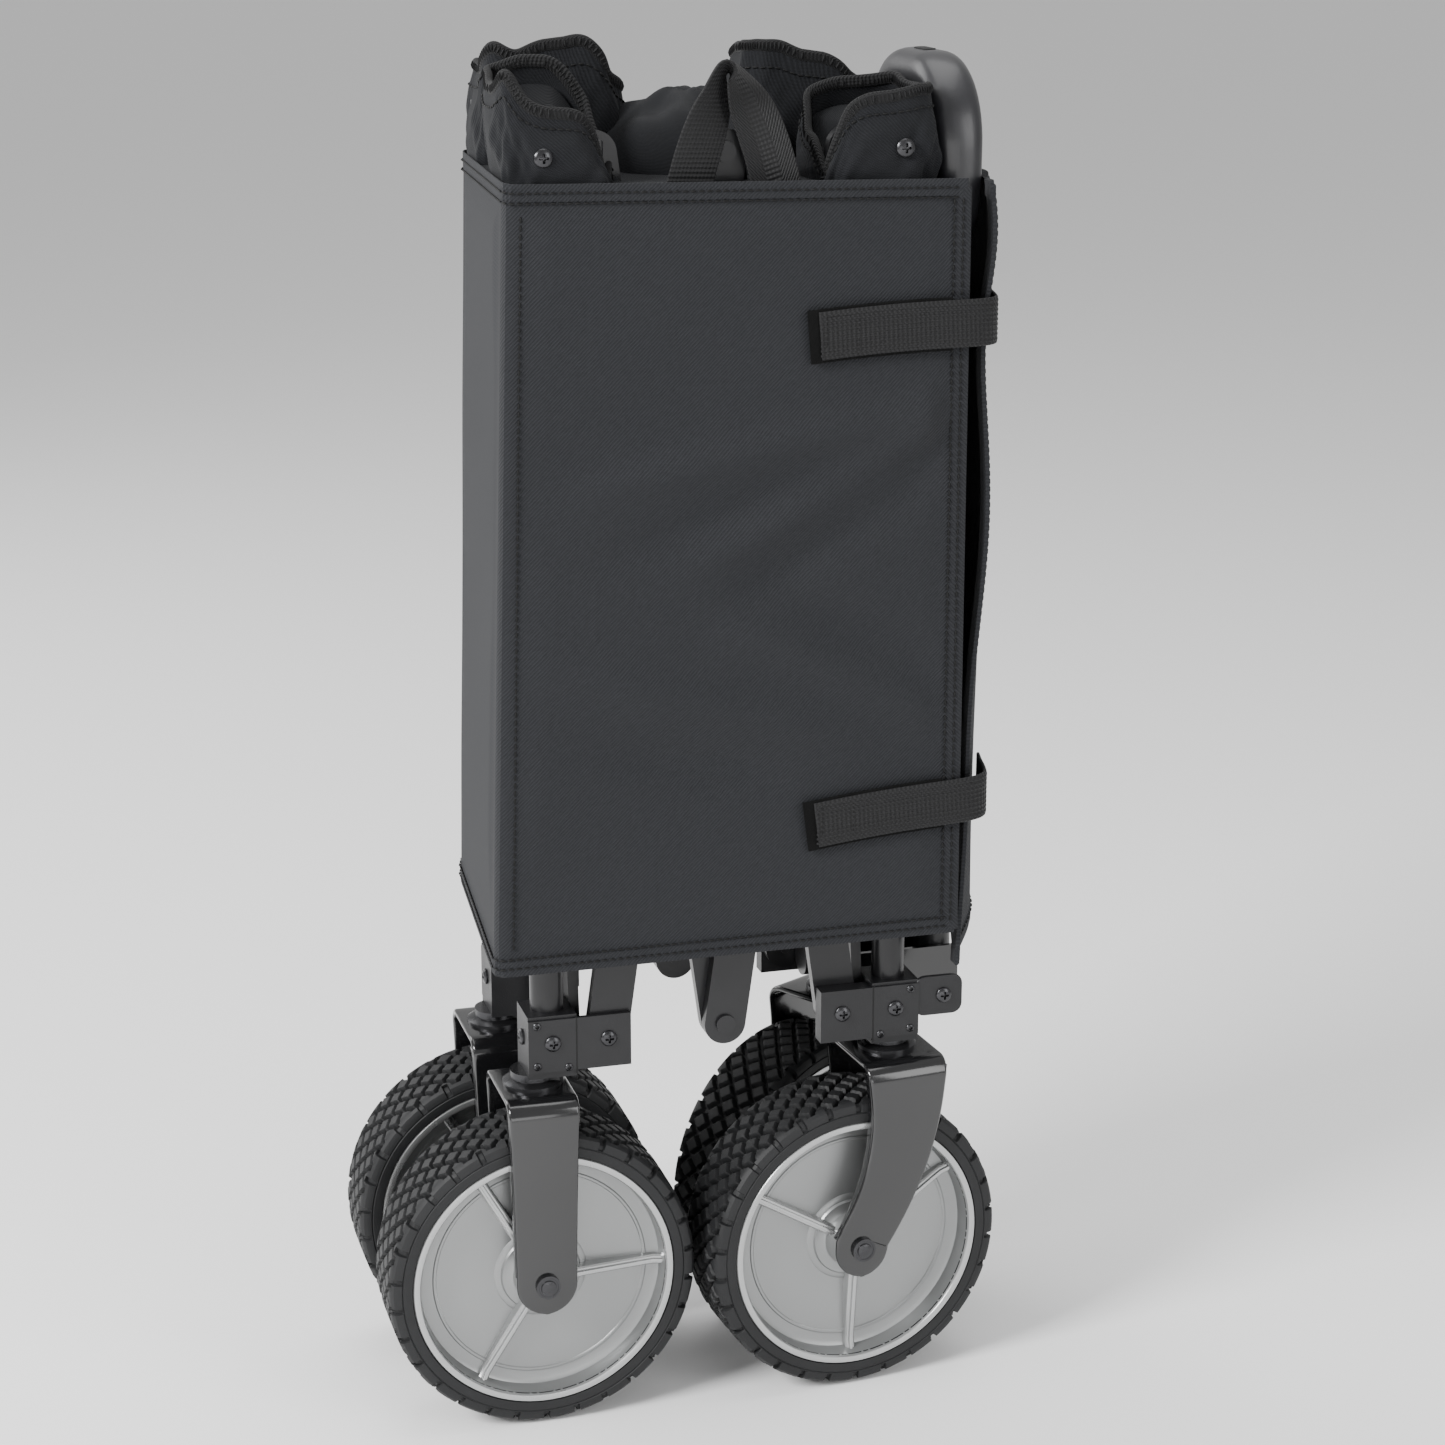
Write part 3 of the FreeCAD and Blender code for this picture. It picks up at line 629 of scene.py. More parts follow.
@dataclass
class Wheel:
    """Treaded tyre on a silver-faced rim; before its yaw the axle lies along y, the face towards -y."""
    corner: Corner
    centre: tuple[float, float]
    yaw: float
    half_width: float = 25.6
    rim_radius: float = 76.0
    blocks: int = 38
    tread_depth: float = 3.4
    notches: int = 30
    steps: int = 832

    def placed(self, shell: Shell) -> Shell:
        """Turn a shell drawn about +z to the axle and move it to the wheel's place."""
        yaw = math.radians(self.yaw)
        axle = (math.sin(yaw), -math.cos(yaw), 0.0)
        return shell.moved(facing(axle, (*self.centre, WHEEL_RADIUS)))

    def tyre(self) -> Shell:
        """Revolved section whose crown is cut by two families of helical grooves.

        Groove depth is tread_depth times a smooth step of the distance to the nearer of the lines
        (arc + y) = k * pitch and (arc - y) = k * pitch; shoulders carry one notch in every 12 degrees.
        """
        w = self.half_width
        side = np.array([(76.0, -w + 0.3), (77.5, -w), (81.0, -w), (81.6, -w + 0.5), (82.2, -w), (84.5, -w + 0.1),
                         (86.6, -w + 0.9), (88.0, -w + 2.6), (88.7, -w + 4.4)])
        crown = np.linspace(-w + 5.4, w - 5.4, 44)
        crown = np.column_stack([89.0 - 0.25 * (crown / w) ** 2, crown])
        floor_ = np.array([(self.rim_radius, w * 0.5), (self.rim_radius, -w * 0.5)])
        profile = np.concatenate([side, crown, side[::-1] * (1, -1), floor_])
        turn = TAU * np.arange(self.steps) / self.steps
        radius, y = profile[:, :1], profile[:, 1:]
        pitch = TAU * WHEEL_RADIUS / self.blocks
        lines = [np.abs((turn * WHEEL_RADIUS + sign * y) / pitch % 1.0 - 0.5) * pitch for sign in (1, -1)]
        gap = pitch / 2 - np.maximum(*lines)
        groove = 1 - np.clip((gap - 1.3) / 1.0, 0, 1)
        on_crown = np.clip((radius - 86.0) / 2.0, 0, 1)
        notch = (np.abs(turn * self.notches / TAU % 1.0 - 0.5) < 0.09) & (radius > 83.5) & (np.abs(y) > w - 5)
        deep = self.tread_depth * groove * on_crown * (np.abs(y) < w - 3)
        radius = radius - np.maximum(deep, 1.9 * notch)
        y = np.broadcast_to(y, radius.shape) - np.sign(y) * 1.3 * notch
        rings = np.stack([radius * np.cos(turn), radius * np.sin(turn), y], axis=-1)
        return loft(rings, capped=False, loop=True)

    def face(self) -> Shell:
        """Silver dish: hub boss, step ring, flat disc, faint ring, flared wall and rolled lip."""
        profile = np.array([(4.3, 27.2), (12.5, 27.2), (14.2, 26.2), (15.4, 22.0), (16.6, 16.6), (18.0, 15.6),
                            (22.5, 15.4), (23.4, 14.2), (26.0, 13.8), (27.0, 13.0), (60.0, 12.4), (60.6, 13.0),
                            (61.8, 13.0), (62.4, 12.4), (67.0, 12.6), (69.6, 14.0), (70.6, 18.0), (71.0, 23.0),
                            (71.0, 11.0), (4.3, 11.0)])
        return turned(profile[::-1], 128, closed=True)

    def lip(self) -> Shell:
        """Rolled edge that holds the tyre's bead, on both sides of the rim; its lighter silver is a painted highlight.
        """
        ring = np.array([(71.1, 20.0), (71.1, 24.4), (71.8, 25.5), (73.4, 26.0), (75.0, 25.7), (75.7, 24.6),
                         (75.7, 20.0)])
        return joined([turned(ring, 128, closed=True),
                       turned(ring[::-1] * (1, -1), 128, closed=True)])

    def back(self) -> Shell:
        """Black moulded back: barrel, dished web and hub sleeve with nine ribs."""
        profile = np.array([(4.3, -27.2), (13.0, -27.2), (14.0, -26.0), (14.4, 2.0), (20.0, 6.0), (60.0, 5.0),
                            (68.0, 0.0), (70.0, -10.0), (71.0, -24.0), (75.8, -24.0), (75.8, 24.0), (71.1, 24.0),
                            (71.1, 10.8), (4.3, 10.8)])
        ribs = []
        for turn in np.arange(9) * 40.0:
            rib = prism(rounded_box(58.0, 3.0, 1.2), -17.0, 5.5, 0.8).moved(lambda p: p + (42.0, 0, 0))
            ribs.append(rib.moved(spun(turn)))
        return joined([turned(profile, 96, closed=True)] + ribs)

    def spokes(self, start: float) -> Shell:
        """Three tapered ribs on the face, each with a raised spine down its middle."""
        made = []
        for turn in start + np.arange(3) * 120.0:
            for half, low_end, high_end in ((2.9, 15.0, 21.5), (1.0, 16.2, 23.0)):
                reach = np.linspace(13.5, 71.0, 12)
                top = (high_end + (low_end - high_end) * (reach - 13.5) / 57.5
                       + 2.4 * np.clip((reach - 64) / 7, 0, 1) ** 2)
                ring = [np.column_stack([np.full(8, x), half * np.array([-1.15, -1, -0.7, 0, 0, 0.7, 1, 1.15]),
                                         np.array([12.0, z - 0.8, z, z + 0.1, z + 0.1, z, z - 0.8, 12.0])])
                        for x, z in zip(reach, top)]
                made.append(loft(np.array(ring)).moved(spun(turn)))
        return joined(made)

    def build(self) -> None:
        """Make the wheel's five pieces and hide the plain nodes they stand for."""
        body, tag = "wheel_" + self.corner.name, self.corner.name
        tyre = make("tyre_tread_" + tag, self.placed(self.tyre()), RUBBER, body, sharp=28)
        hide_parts("tyre_" + tag)
        start = 0.0 if self.corner.end is End.REAR else 30.0
        face = make("rim_face_" + tag, self.placed(self.face()), SILVER, body)
        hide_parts("rim_" + tag)
        # Spokes and lip take the lighter silver: painted highlight on the raised ribs and the rolled edge.
        make("rim_spokes_" + tag, self.placed(self.spokes(start)), SILVER_HIGHLIGHT, body)
        make("rim_lip_" + tag, self.placed(self.lip()), SILVER_HIGHLIGHT, body)
        make("rim_back_" + tag, self.placed(self.back()), RIM_BACK, body)
        log.info("wheel %s: five pieces", tag)


def spun(degrees: float) -> Callable[[np.ndarray], np.ndarray]:
    """Function that turns points about z."""
    c, s = math.cos(math.radians(degrees)), math.sin(math.radians(degrees))
    return lambda p: np.column_stack([p[:, 0] * c - p[:, 1] * s, p[:, 0] * s + p[:, 1] * c, p[:, 2]])


def yawed(centre: tuple[float, float], yaw: float) -> Callable[[np.ndarray], np.ndarray]:
    """Function that turns points about z and moves them to a place on plan."""
    turn = spun(yaw)
    return lambda p: turn(p) + (centre[0], centre[1], 0.0)


# ---- forks ------------------------------------------------------------------------------------------------

@dataclass
class Fork:
    """U-bent strip of thick sheet that straddles a wheel, straight on the rear and swept on a caster."""
    corner: Corner
    centre: tuple[float, float]
    yaw: float
    swept: bool
    half_gap: float = 31.2
    thickness: float = 3.6
    foot: float = 17.5
    crown: float = 198.2
    bend: float = 9.0

    def lean(self, z: np.ndarray) -> np.ndarray:
        """How far forward the strip's middle is at a height: a smooth curve from the axle to the stem."""
        rise = np.clip((z - WHEEL_RADIUS - 4) / 90.0, 0, 1)
        return CASTER_TRAIL * (1 - (1 - rise) ** 2.1) if self.swept else np.zeros_like(z)

    def strip(self, width_top: float, width_foot: float, out: float, thickness: float, foot: float) -> Shell:
        """Band down one leg, over the crown and down the other; its ends are half round."""
        rise = np.concatenate([WHEEL_RADIUS - foot * np.cos(np.linspace(0.02, math.pi / 2, 14)),
                               np.linspace(WHEEL_RADIUS + 3, self.crown - self.bend, 34)])
        turn = np.radians(np.linspace(12, 90, 8))
        y_leg = np.full(len(rise), -self.half_gap - out)
        y_bend = -self.half_gap - out + self.bend * (1 - np.cos(turn))
        z_bend = self.crown + out - self.bend + self.bend * np.sin(turn)
        y = np.concatenate([y_leg, y_bend, np.linspace(y_bend[-1], 0, 6)[1:]])
        z = np.concatenate([rise, z_bend, np.full(5, z_bend[-1])])
        share = np.clip((z - WHEEL_RADIUS) / (self.crown - WHEEL_RADIUS), 0, 1)
        width = width_foot + (width_top - width_foot) * share ** 1.6
        drop = np.clip(WHEEL_RADIUS - z, 0, foot)
        rounded = width_foot / foot * np.sqrt(np.clip(foot ** 2 - drop ** 2, 0.05, None))
        width = np.where(z < WHEEL_RADIUS, rounded, width)
        x = self.lean(z)
        near = np.column_stack([x, y, z])
        path = np.concatenate([near, near[-2::-1] * (1, -1, 1)])
        return ribbon(path, (1, 0, 0), np.concatenate([width, width[-2::-1]]), thickness, count=5)

    def build(self) -> None:
        """Make the strip with its turned-in flanges, the stem collar and the axle's heads."""
        tag = self.corner.name
        body = ("caster_" if self.swept else "leg_") + tag
        move = yawed(self.centre, self.yaw)
        top, foot = (50.0, 33.0) if self.swept else (41.0, 35.0)
        strip = self.strip(top, foot, 0.0, self.thickness, self.foot)
        flange = joined([ribbon(self.edge(sign, top, foot), (0, 1, 0), 6.5, 2.4) for sign in (-1, 1)])
        fork = make("fork_sheet_" + tag, joined([strip, flange]).moved(move), GLOSS_COAT, body, sharp=50)
        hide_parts(("caster_fork_" if self.swept else "rear_fork_") + tag)
        stem = (CASTER_TRAIL if self.swept else 0.0, 0.0)
        collar = np.array([(17.0, 198.5), (17.0, 202.0), (14.5, 203.5), (12.5, 204.0), (12.5, 208.5)])
        make("stem_collar_" + tag, turned(collar, 40, capped=True).moved(lambda p: p + (*stem, 0)).moved(move),
             BLACK_ZINC, body)
        head = BoltHead().shell()
        spots = [((0, sign, 0), (0, sign * (self.half_gap + self.thickness / 2), WHEEL_RADIUS)) for sign in (-1, 1)]
        bolt = make("axle_heads_" + tag, scattered(head, spots).moved(move), BLACK_ZINC, body)
        log.info("%s, %s", fork.name, bolt.name)

    def edge(self, sign: int, top: float, foot: float) -> np.ndarray:
        """Line of the outer leg's turned-in flange, just inside the strip's edge."""
        z = np.linspace(WHEEL_RADIUS + 6, self.crown - 3, 30)
        share = (z - WHEEL_RADIUS) / (self.crown - WHEEL_RADIUS)
        half = (foot + (top - foot) * share ** 1.6) / 2 - 0.9
        return np.column_stack([self.lean(z) + sign * half, np.full(30, -self.half_gap + 3.2), z])


# ---- soft goods ---------------------------------------------------------------------------------------------

def smoothstep(low: float, high: float, value: np.ndarray) -> np.ndarray:
    """Cubic step from 0 below low to 1 above high."""
    t = np.clip((value - low) / (high - low), 0, 1)
    return t * t * (3 - 2 * t)


def along(corners: np.ndarray, reach: np.ndarray, distance: np.ndarray) -> np.ndarray:
    """Points at distances along a line of corners."""
    return np.stack([np.interp(distance, reach, corners[:, k]) for k in range(corners.shape[1])], axis=-1)


@dataclass
class Wrap:
    """Floor pad stood on its side round the folded frame: three board-stiffened panels in one cloth."""
    top: tuple[tuple[float, float, float], ...] = ((130, -78.0, 700), (-118, -78.6, 704), (-121.5, -77.4, 704.5),
                                                   (-122.6, -73, 705), (-114.5, 68, 707), (-112, 75, 707),
                                                   (-107, 77.6, 707), (158, 78.2, 702))
    foot: tuple[tuple[float, float, float], ...] = ((131, -78.0, 278), (-130, -78.6, 277), (-134.0, -77.4, 277),
                                                    (-135.4, -73, 277.5), (-125.5, 68, 285), (-123, 75, 286),
                                                    (-117, 77.6, 286), (158, 78.2, 284))
    board: float = 2.6
    hem: float = 9.5
    step: float = 2.6

    def reach(self) -> np.ndarray:
        """Distance along the cloth of each corner, halfway up."""
        middle = (np.array(self.top, float) + np.array(self.foot, float)) / 2
        return np.concatenate([[0], np.cumsum(np.linalg.norm(np.diff(middle, axis=0), axis=1))])

    def grids(self) -> tuple[np.ndarray, np.ndarray, np.ndarray, np.ndarray, np.ndarray]:
        """Arrays of u, v, place, outward direction and distance to the nearest panel edge."""
        top, foot = np.array(self.top, float), np.array(self.foot, float)
        reach = self.reach()
        u = np.linspace(0, reach[-1], int(reach[-1] / self.step) + 1)
        high, low = along(top, reach, u), along(foot, reach, u)
        v = np.linspace(0, 1, int(PAD_HEIGHT / self.step) + 1)[:, None, None]
        place = low[None] * (1 - v) + high[None] * v
        run = np.gradient(place, axis=1)
        outward = np.cross(run, (0, 0, 1.0))
        outward = -outward / np.linalg.norm(outward, axis=-1, keepdims=True)
        gu, gv = np.meshgrid(u, v.ravel() * PAD_HEIGHT)
        folds = (reach[2], reach[5])
        edges = np.min([np.abs(gu - where) for where in (0, *folds, reach[-1])]
                       + [gv, PAD_HEIGHT - gv], axis=0)
        return gu, gv, place, outward, edges

    def build(self) -> None:
        """Make the cloth, its bound hem and its two rows of stitching."""
        gu, gv, place, outward, edges = self.grids()
        crease = ripple((0.8, 0.0022, 0.0042, 0.1), (0.35, 0.0012, -0.0061, 0.37),
                        (0.2, 0.0071, 0.0093, 0.7))(gu, gv)
        down = PAD_HEIGHT - gv
        pull = sum(h * np.exp(-((down - v0 - slope * gu) / w) ** 2) * smoothstep(start, start + 55, gu)
                   * (1 - smoothstep(stop - 90, stop, gu))
                   for h, v0, slope, w, start, stop in
                   ((3.0, 116, 0.20, 11, -40, 250), (-2.4, 138, 0.27, 12, -30, 240),
                    (3.2, 124, 0.50, 12, -30, 185), (-2.4, 150, 0.55, 14, -20, 175),
                    (2.4, 318, -0.28, 13, 40, 262), (-2.0, 345, -0.22, 13, 85, 250),
                    (2.2, 300, -0.50, 15, -20, 170), (-1.6, 274, -0.58, 17, -20, 160)))
        relief = 0.6 * smoothstep(12, 22, edges) - 0.4 * np.exp(-((edges - 10.5) / 1.4) ** 2) + crease + 1.5 * pull
        relief = relief * smoothstep(2, 26, edges)
        outer = place + outward * relief[..., None]
        shell = two_faced(outer, place - outward * self.board, np.stack([gu, gv], -1))
        pad = make("floor_pad_cloth", shell, CANVAS, "wrap")
        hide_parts("wrap_panels")
        skin = place + outward * 0.05
        half = int(self.hem / 2 / self.step)
        bands = [ribbon(skin[row, ::2], (0, 0, 1), self.hem, 1.0) for row in (half, -half - 1)]
        bands += [ribbon(skin[::2, column], (1, 0, 0), self.hem, 1.0) for column in (half, -half - 1)]
        hem = make("floor_pad_hem", joined([outwards(band) for band in bands]), CANVAS, "wrap")
        proud = place + outward * 0.85
        rows = [proud[k, 1:-1] for k in (1, 3, -2, -4)] + [proud[1:-1, k] for k in (1, 3, -2, -4)]
        folds = np.argmin(np.abs(gu[0][:, None] - self.reach()[[2, 5]]), axis=0)
        rows.append((place + outward * 0.3)[4:-4, folds[0] - 3])
        seams = make("floor_pad_stitching", stitches(rows), THREAD, "wrap", sharp=80)
        for piece in (pad, hem, seams):
            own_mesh(piece)
        log.info("floor pad %d by %d mm: cloth, hem, stitching", gu.max(), PAD_HEIGHT)


def outwards(shell: Shell) -> Shell:
    """Shell with its faces turned so that the volume they enclose is positive."""
    p = shell.points
    q, t = shell.quads, shell.tris
    corners = [(q[:, 0], q[:, 1], q[:, 2]), (q[:, 0], q[:, 2], q[:, 3])]
    if len(t):
        corners.append((t[:, 0], t[:, 1], t[:, 2]))
    volume = sum(float((np.cross(p[a], p[b]) * p[c]).sum()) for a, b, c in corners)
    return shell if volume > 0 else shell.flipped()


def two_faced(outer: np.ndarray, inner: np.ndarray, cloth: np.ndarray) -> Shell:
    """Sheet with an outer and an inner face, both laid out by the same cloth coordinates."""
    shell = outwards(loft(np.concatenate([outer, inner[:, ::-1]], axis=1)))
    cloth = np.concatenate([cloth, cloth[:, ::-1]], axis=1).reshape(-1, 2)
    return shell._replace(cloth=np.concatenate([cloth, cloth[:len(shell.points) - len(cloth)]]))


@dataclass
class Flap:
    """Loose end of the pad's cloth over the handle end; it bulges, and its lower corner hangs in a point."""
    near: float = -74.0
    far: float = 74.0
    thickness: float = 2.0

    def place(self, s: np.ndarray, v: np.ndarray) -> np.ndarray:
        """Point for a share s of the depth from near to far and a share v of the height."""
        low = 254 + 27 * smoothstep(0.0, 0.75, s)
        z = low + (700 - low) * v
        lift = 0.5 + 0.5 * np.cos(TAU * (v * 1.7 - 0.10))
        x_near = 139 + 8.0 * np.exp(-((v - 0.60) / 0.20) ** 2) + 9 * np.exp(-((v - 0.94) / 0.10) ** 2)
        x_near = x_near - 4.0 * smoothstep(0.25, 0.0, v) + 0.8 * lift
        bow = 0.6 + 1.0 * np.exp(-((v - 0.62) / 0.3) ** 2)
        x = x_near + (160.4 - x_near) * smoothstep(0.0, 0.38, s) + bow * np.sin(math.pi * s)
        x = x + 0.4 * np.sin(TAU * (2.3 * v + s))
        return np.stack([x, self.near + (self.far - self.near) * s, z], axis=-1)

    def build(self) -> None:
        """Make the cloth, its hem and its stitching."""
        s, v = np.meshgrid(np.linspace(0, 1, 58), np.linspace(0, 1, 150))
        outer = self.place(s, v)
        normal = np.cross(np.gradient(outer, axis=1), np.gradient(outer, axis=0))
        normal /= np.linalg.norm(normal, axis=-1, keepdims=True)
        normal *= np.sign(normal[..., :1])
        inner = outer - normal * self.thickness
        shell = two_faced(outer, inner, np.stack([148 * s, 440 * v], -1))
        sheet = make("flap_cloth", shell, CANVAS, "flap")
        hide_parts("wrap_flap")
        skin = outer - normal * self.thickness / 2
        bands = [ribbon(skin[:, 2], (0, 1, 0), 9.0, 3.2), ribbon(skin[2, ::2], (0, 0, 1), 9.0, 3.2),
                 ribbon(skin[-3, ::2], (0, 0, 1), 9.0, 3.2)]
        hem = make("flap_hem", joined([outwards(band) for band in bands]), CANVAS, "flap")
        rows = [(outer + normal * 0.8)[:, k] for k in (1, 3)] + [(outer + normal * 0.8)[k] for k in (3, -4)]
        seams = make("flap_stitching", stitches(rows), THREAD, "flap", sharp=80)
        for piece in (sheet, hem, seams):
            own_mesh(piece)
        log.info("flap: cloth, hem, stitching")


@dataclass
class Straps:
    """Two webbing straps with hook tape that hold the flap against the near panel."""
    width: float = 26.0
    thickness: float = 1.9
    heights: tuple[float, float] = (612.0, 350.0)

    def line(self, height: float, lift: float, start: float) -> np.ndarray:
        """Centre line of a strap: along the near panel, round the flap's edge and a little way behind it."""
        slope = 0.0685 - 0.0215 * (height - 480) / 130
        corners = np.array([(start, -82.2 - lift), (70, -82.4 - lift), (105, -82.6 - lift), (128, -82.4 - lift),
                            (141, -80.5), (148.2, -75.5), (151.5, -66.0), (154.5, -52.0), (157.4, -40)])
        path = smooth_path(np.column_stack([corners, np.full(len(corners), height)]), 64)
        raised = 11.0 if height > 480 else 0.0
        path[:, 2] += (path[:, 0] - 47) * slope - 2.0 + raised + 1.2 * np.sin((path[:, 0] - 40) / 30)
        return path

    def build(self) -> None:
        """Make the webbing, the hook patches and the box stitching."""
        tag = {self.heights[0]: "upper", self.heights[1]: "lower"}
        for height in self.heights:
            path = self.line(height, 0.0, 47.0)
            band = make("strap_webbing_" + tag[height], outwards(ribbon(path, (0, 0, 1), self.width, self.thickness)),
                        WEBBING, "flap")
            if height == self.heights[0]:
                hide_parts("closure_straps")
            proud = self.normals(path) * (self.thickness / 2)
            ribs = [ribbon(path + (0, 0, k) + proud, (0, 0, 1), 1.3, 0.5, count=2)
                    for k in np.linspace(-10.5, 10.5, 9)]
            rib = make("strap_ribs_" + tag[height], joined([outwards(r) for r in ribs]), WEBBING, "flap")
            patch = self.line(height, -0.9, 41.0)[:22]
            hook = make("strap_hook_" + tag[height], outwards(ribbon(patch, (0, 0, 1), self.width + 3.0, 1.2)),
                        HOOK_TAPE, "flap")
            box = np.array([(50, -10.4), (68, -10.4), (68, 10.4), (50, 10.4), (50, -10.4)])
            rise = np.interp(box[:, 0], path[:40, 0], path[:40, 2])
            loop = np.column_stack([box[:, 0], np.full(5, -83.0), rise + box[:, 1]])
            sewn = make("strap_stitching_" + tag[height], stitches([loop], 3.6), THREAD, "flap", sharp=80)
            for piece in (band, rib, hook, sewn):
                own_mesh(piece)
        log.info("closing straps: two, 26 mm webbing")

    @staticmethod
    def normals(path: np.ndarray) -> np.ndarray:
        """Outward direction on plan for each point of the path."""
        run = np.gradient(path, axis=0)
        side = np.column_stack([run[:, 1], -run[:, 0], np.zeros(len(run))])
        return side / np.linalg.norm(side, axis=1, keepdims=True)


@dataclass
class CornerPouch:
    """Gathered corner of the tub's cloth held on a post: a folded ring of cloth with a ribbed top binding.

    A closed line round the corner is waved in and out; height v carries it up with the waves growing to the
    top, where the edge itself rises and falls. Radius = smooth outline * (1 + fold waves * share of height).
    """
    corner: Corner
    middle: tuple[float, float]
    half: tuple[float, float]
    low: float
    tops: Sequence[tuple[float, float]]
    folds: Sequence[tuple[float, float, float]]
    seed: int = 1

    def edge_height(self, turn: np.ndarray) -> np.ndarray:
        """Top height by direction, through the given pairs of degrees and height."""
        degrees, heights = np.array(sorted(self.tops), float).T
        fine = np.arange(360)
        line = np.interp(fine, degrees, heights, period=360)
        window = np.hanning(25)
        line = np.convolve(np.concatenate([line[-12:], line, line[:12]]), window / window.sum(), mode="valid")
        return np.interp(np.degrees(turn) % 360, fine, line, period=360)

    def skin(self, v: np.ndarray, turn: np.ndarray, offset: float) -> np.ndarray:
        """Point of the cloth for a share of height and a direction, moved in or out by an offset."""
        power = 0.52
        cx, cy = np.cos(turn), np.sin(turn)
        x = np.sign(cx) * np.abs(cx) ** power * (self.half[0] + offset)
        y = np.sign(cy) * np.abs(cy) ** power * (self.half[1] + offset)
        wave = sum(h * np.sin(k * turn + p + 1.1 * v) for h, k, p in self.folds)
        puff = 1 + 0.10 * np.sin(math.pi * np.clip(v, 0, 1)) - 0.06 * v
        grow = puff + wave * (0.25 + 0.75 * v)
        z = self.low + (self.edge_height(turn) - self.low) * v
        overhang = 6.0 if self.corner.name == "rear_right" else 0.0
        shift = self.corner.end.value * overhang * smoothstep(0.2, 1.0, v)
        return np.stack([self.middle[0] + x * grow + shift, self.middle[1] + y * grow,
                         z + 0.8 * np.sin(5 * turn + self.seed) * v], axis=-1)

    def build(self) -> None:
        """Make the cloth ring with its crumpled inside, the binding and its stitching."""
        body, tag = "upper_" + self.corner.name, self.corner.name
        turn = TAU * np.arange(180) / 180
        v = np.linspace(0, 1, 34)[:, None]
        t = np.broadcast_to(turn, (34, 180))
        wrinkle = ripple((1.3, 0.8, 0.9, 0.1 * self.seed), (0.9, 1.43, -1.3, 0.4), (0.5, 2.55, 1.9, 0.8),
                         (0.3, 3.66, -3.1, 0.2))(t, v)
        wrinkle = wrinkle * np.sin(math.pi * np.clip(v, 0, 1) ** 0.7)
        outer = self.skin(v, t, 0.0)
        centre = np.array([self.middle[0], self.middle[1], 0.0])
        away = outer - centre
        away[..., 2] = 0
        away /= np.linalg.norm(away, axis=-1, keepdims=True)
        outer = outer + away * wrinkle[..., None]
        inner = outer - away * 2.2
        rings = np.concatenate([outer, inner[::-1]])
        cloth = make("tub_cloth_" + tag, outwards(loft(rings, capped=False, loop=True)), TUB_CANVAS, body)
        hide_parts("tub_fabric_" + tag)
        self.cap(body, tag)
        sag = []
        for share in np.linspace(1.0, 0.03, 16):
            ring = centre + (inner[-1] - centre) * (share, share, 1.0)
            ripples = 3.5 * np.sin(3 * turn + 9 * share + self.seed) * (1 - share)
            ring[:, 2] -= 12.0 + 14.0 * (1 - share) ** 0.6 - ripples
            sag.append(ring)
        under = [ring - (0, 0, 2.0) for ring in sag]
        stuff = make("tub_tuck_" + tag, outwards(loft(np.array(sag + under[::-1]))), TUB_CANVAS, body)
        rim = (outer[-1] + inner[-1]) / 2
        band = joined([outwards(swept(rim, rounded_box(4.2, 7.0, 2.0), (0, 0, 1), closed=True)),
                       *[turned(np.array([(2.3, -0.5), (3.1, 0.0), (2.3, 0.5)]), 10, capped=True)
                         .moved(facing(a - b, m)) for a, b, m in zip(np.roll(rim, -1, 0)[::2], rim[::2], rim[::2])]])
        bind = make("tub_binding_" + tag, band, BINDING, body, sharp=50)
        proud = outer[28] + away[28] * 0.4
        rows = [np.concatenate([proud, proud[:1]])]
        sewn = make("tub_stitching_" + tag, stitches(rows), THREAD, body, sharp=80)
        for piece in (cloth, stuff, bind, sewn):
            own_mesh(piece)
        log.info("tub corner %s: cloth, tuck, binding, stitching", tag)

    def cap(self, body: str, tag: str) -> None:
        """Moulded cap inside the cloth: a block round the post and a lower lug towards the bars."""
        end, side = self.corner.end.value, self.corner.side.value
        post = prism(resampled(rounded_box(24, 27, 4.0), 2.0), 702, 739, 1.5)
        post = post.moved(lambda p: p + (end * DRAWN_X, side * DRAWN_Y, 0))
        lug = prism(resampled(rounded_box(24, 8, 2.0), 2.0), 704, 726, 1.2)
        lug = lug.moved(lambda p: p + (end * 78, side * 59, 0))
        block = make("cap_block_" + tag, joined([outwards(post), outwards(lug)]), MOULDED, body)
        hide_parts("corner_cap_" + tag)


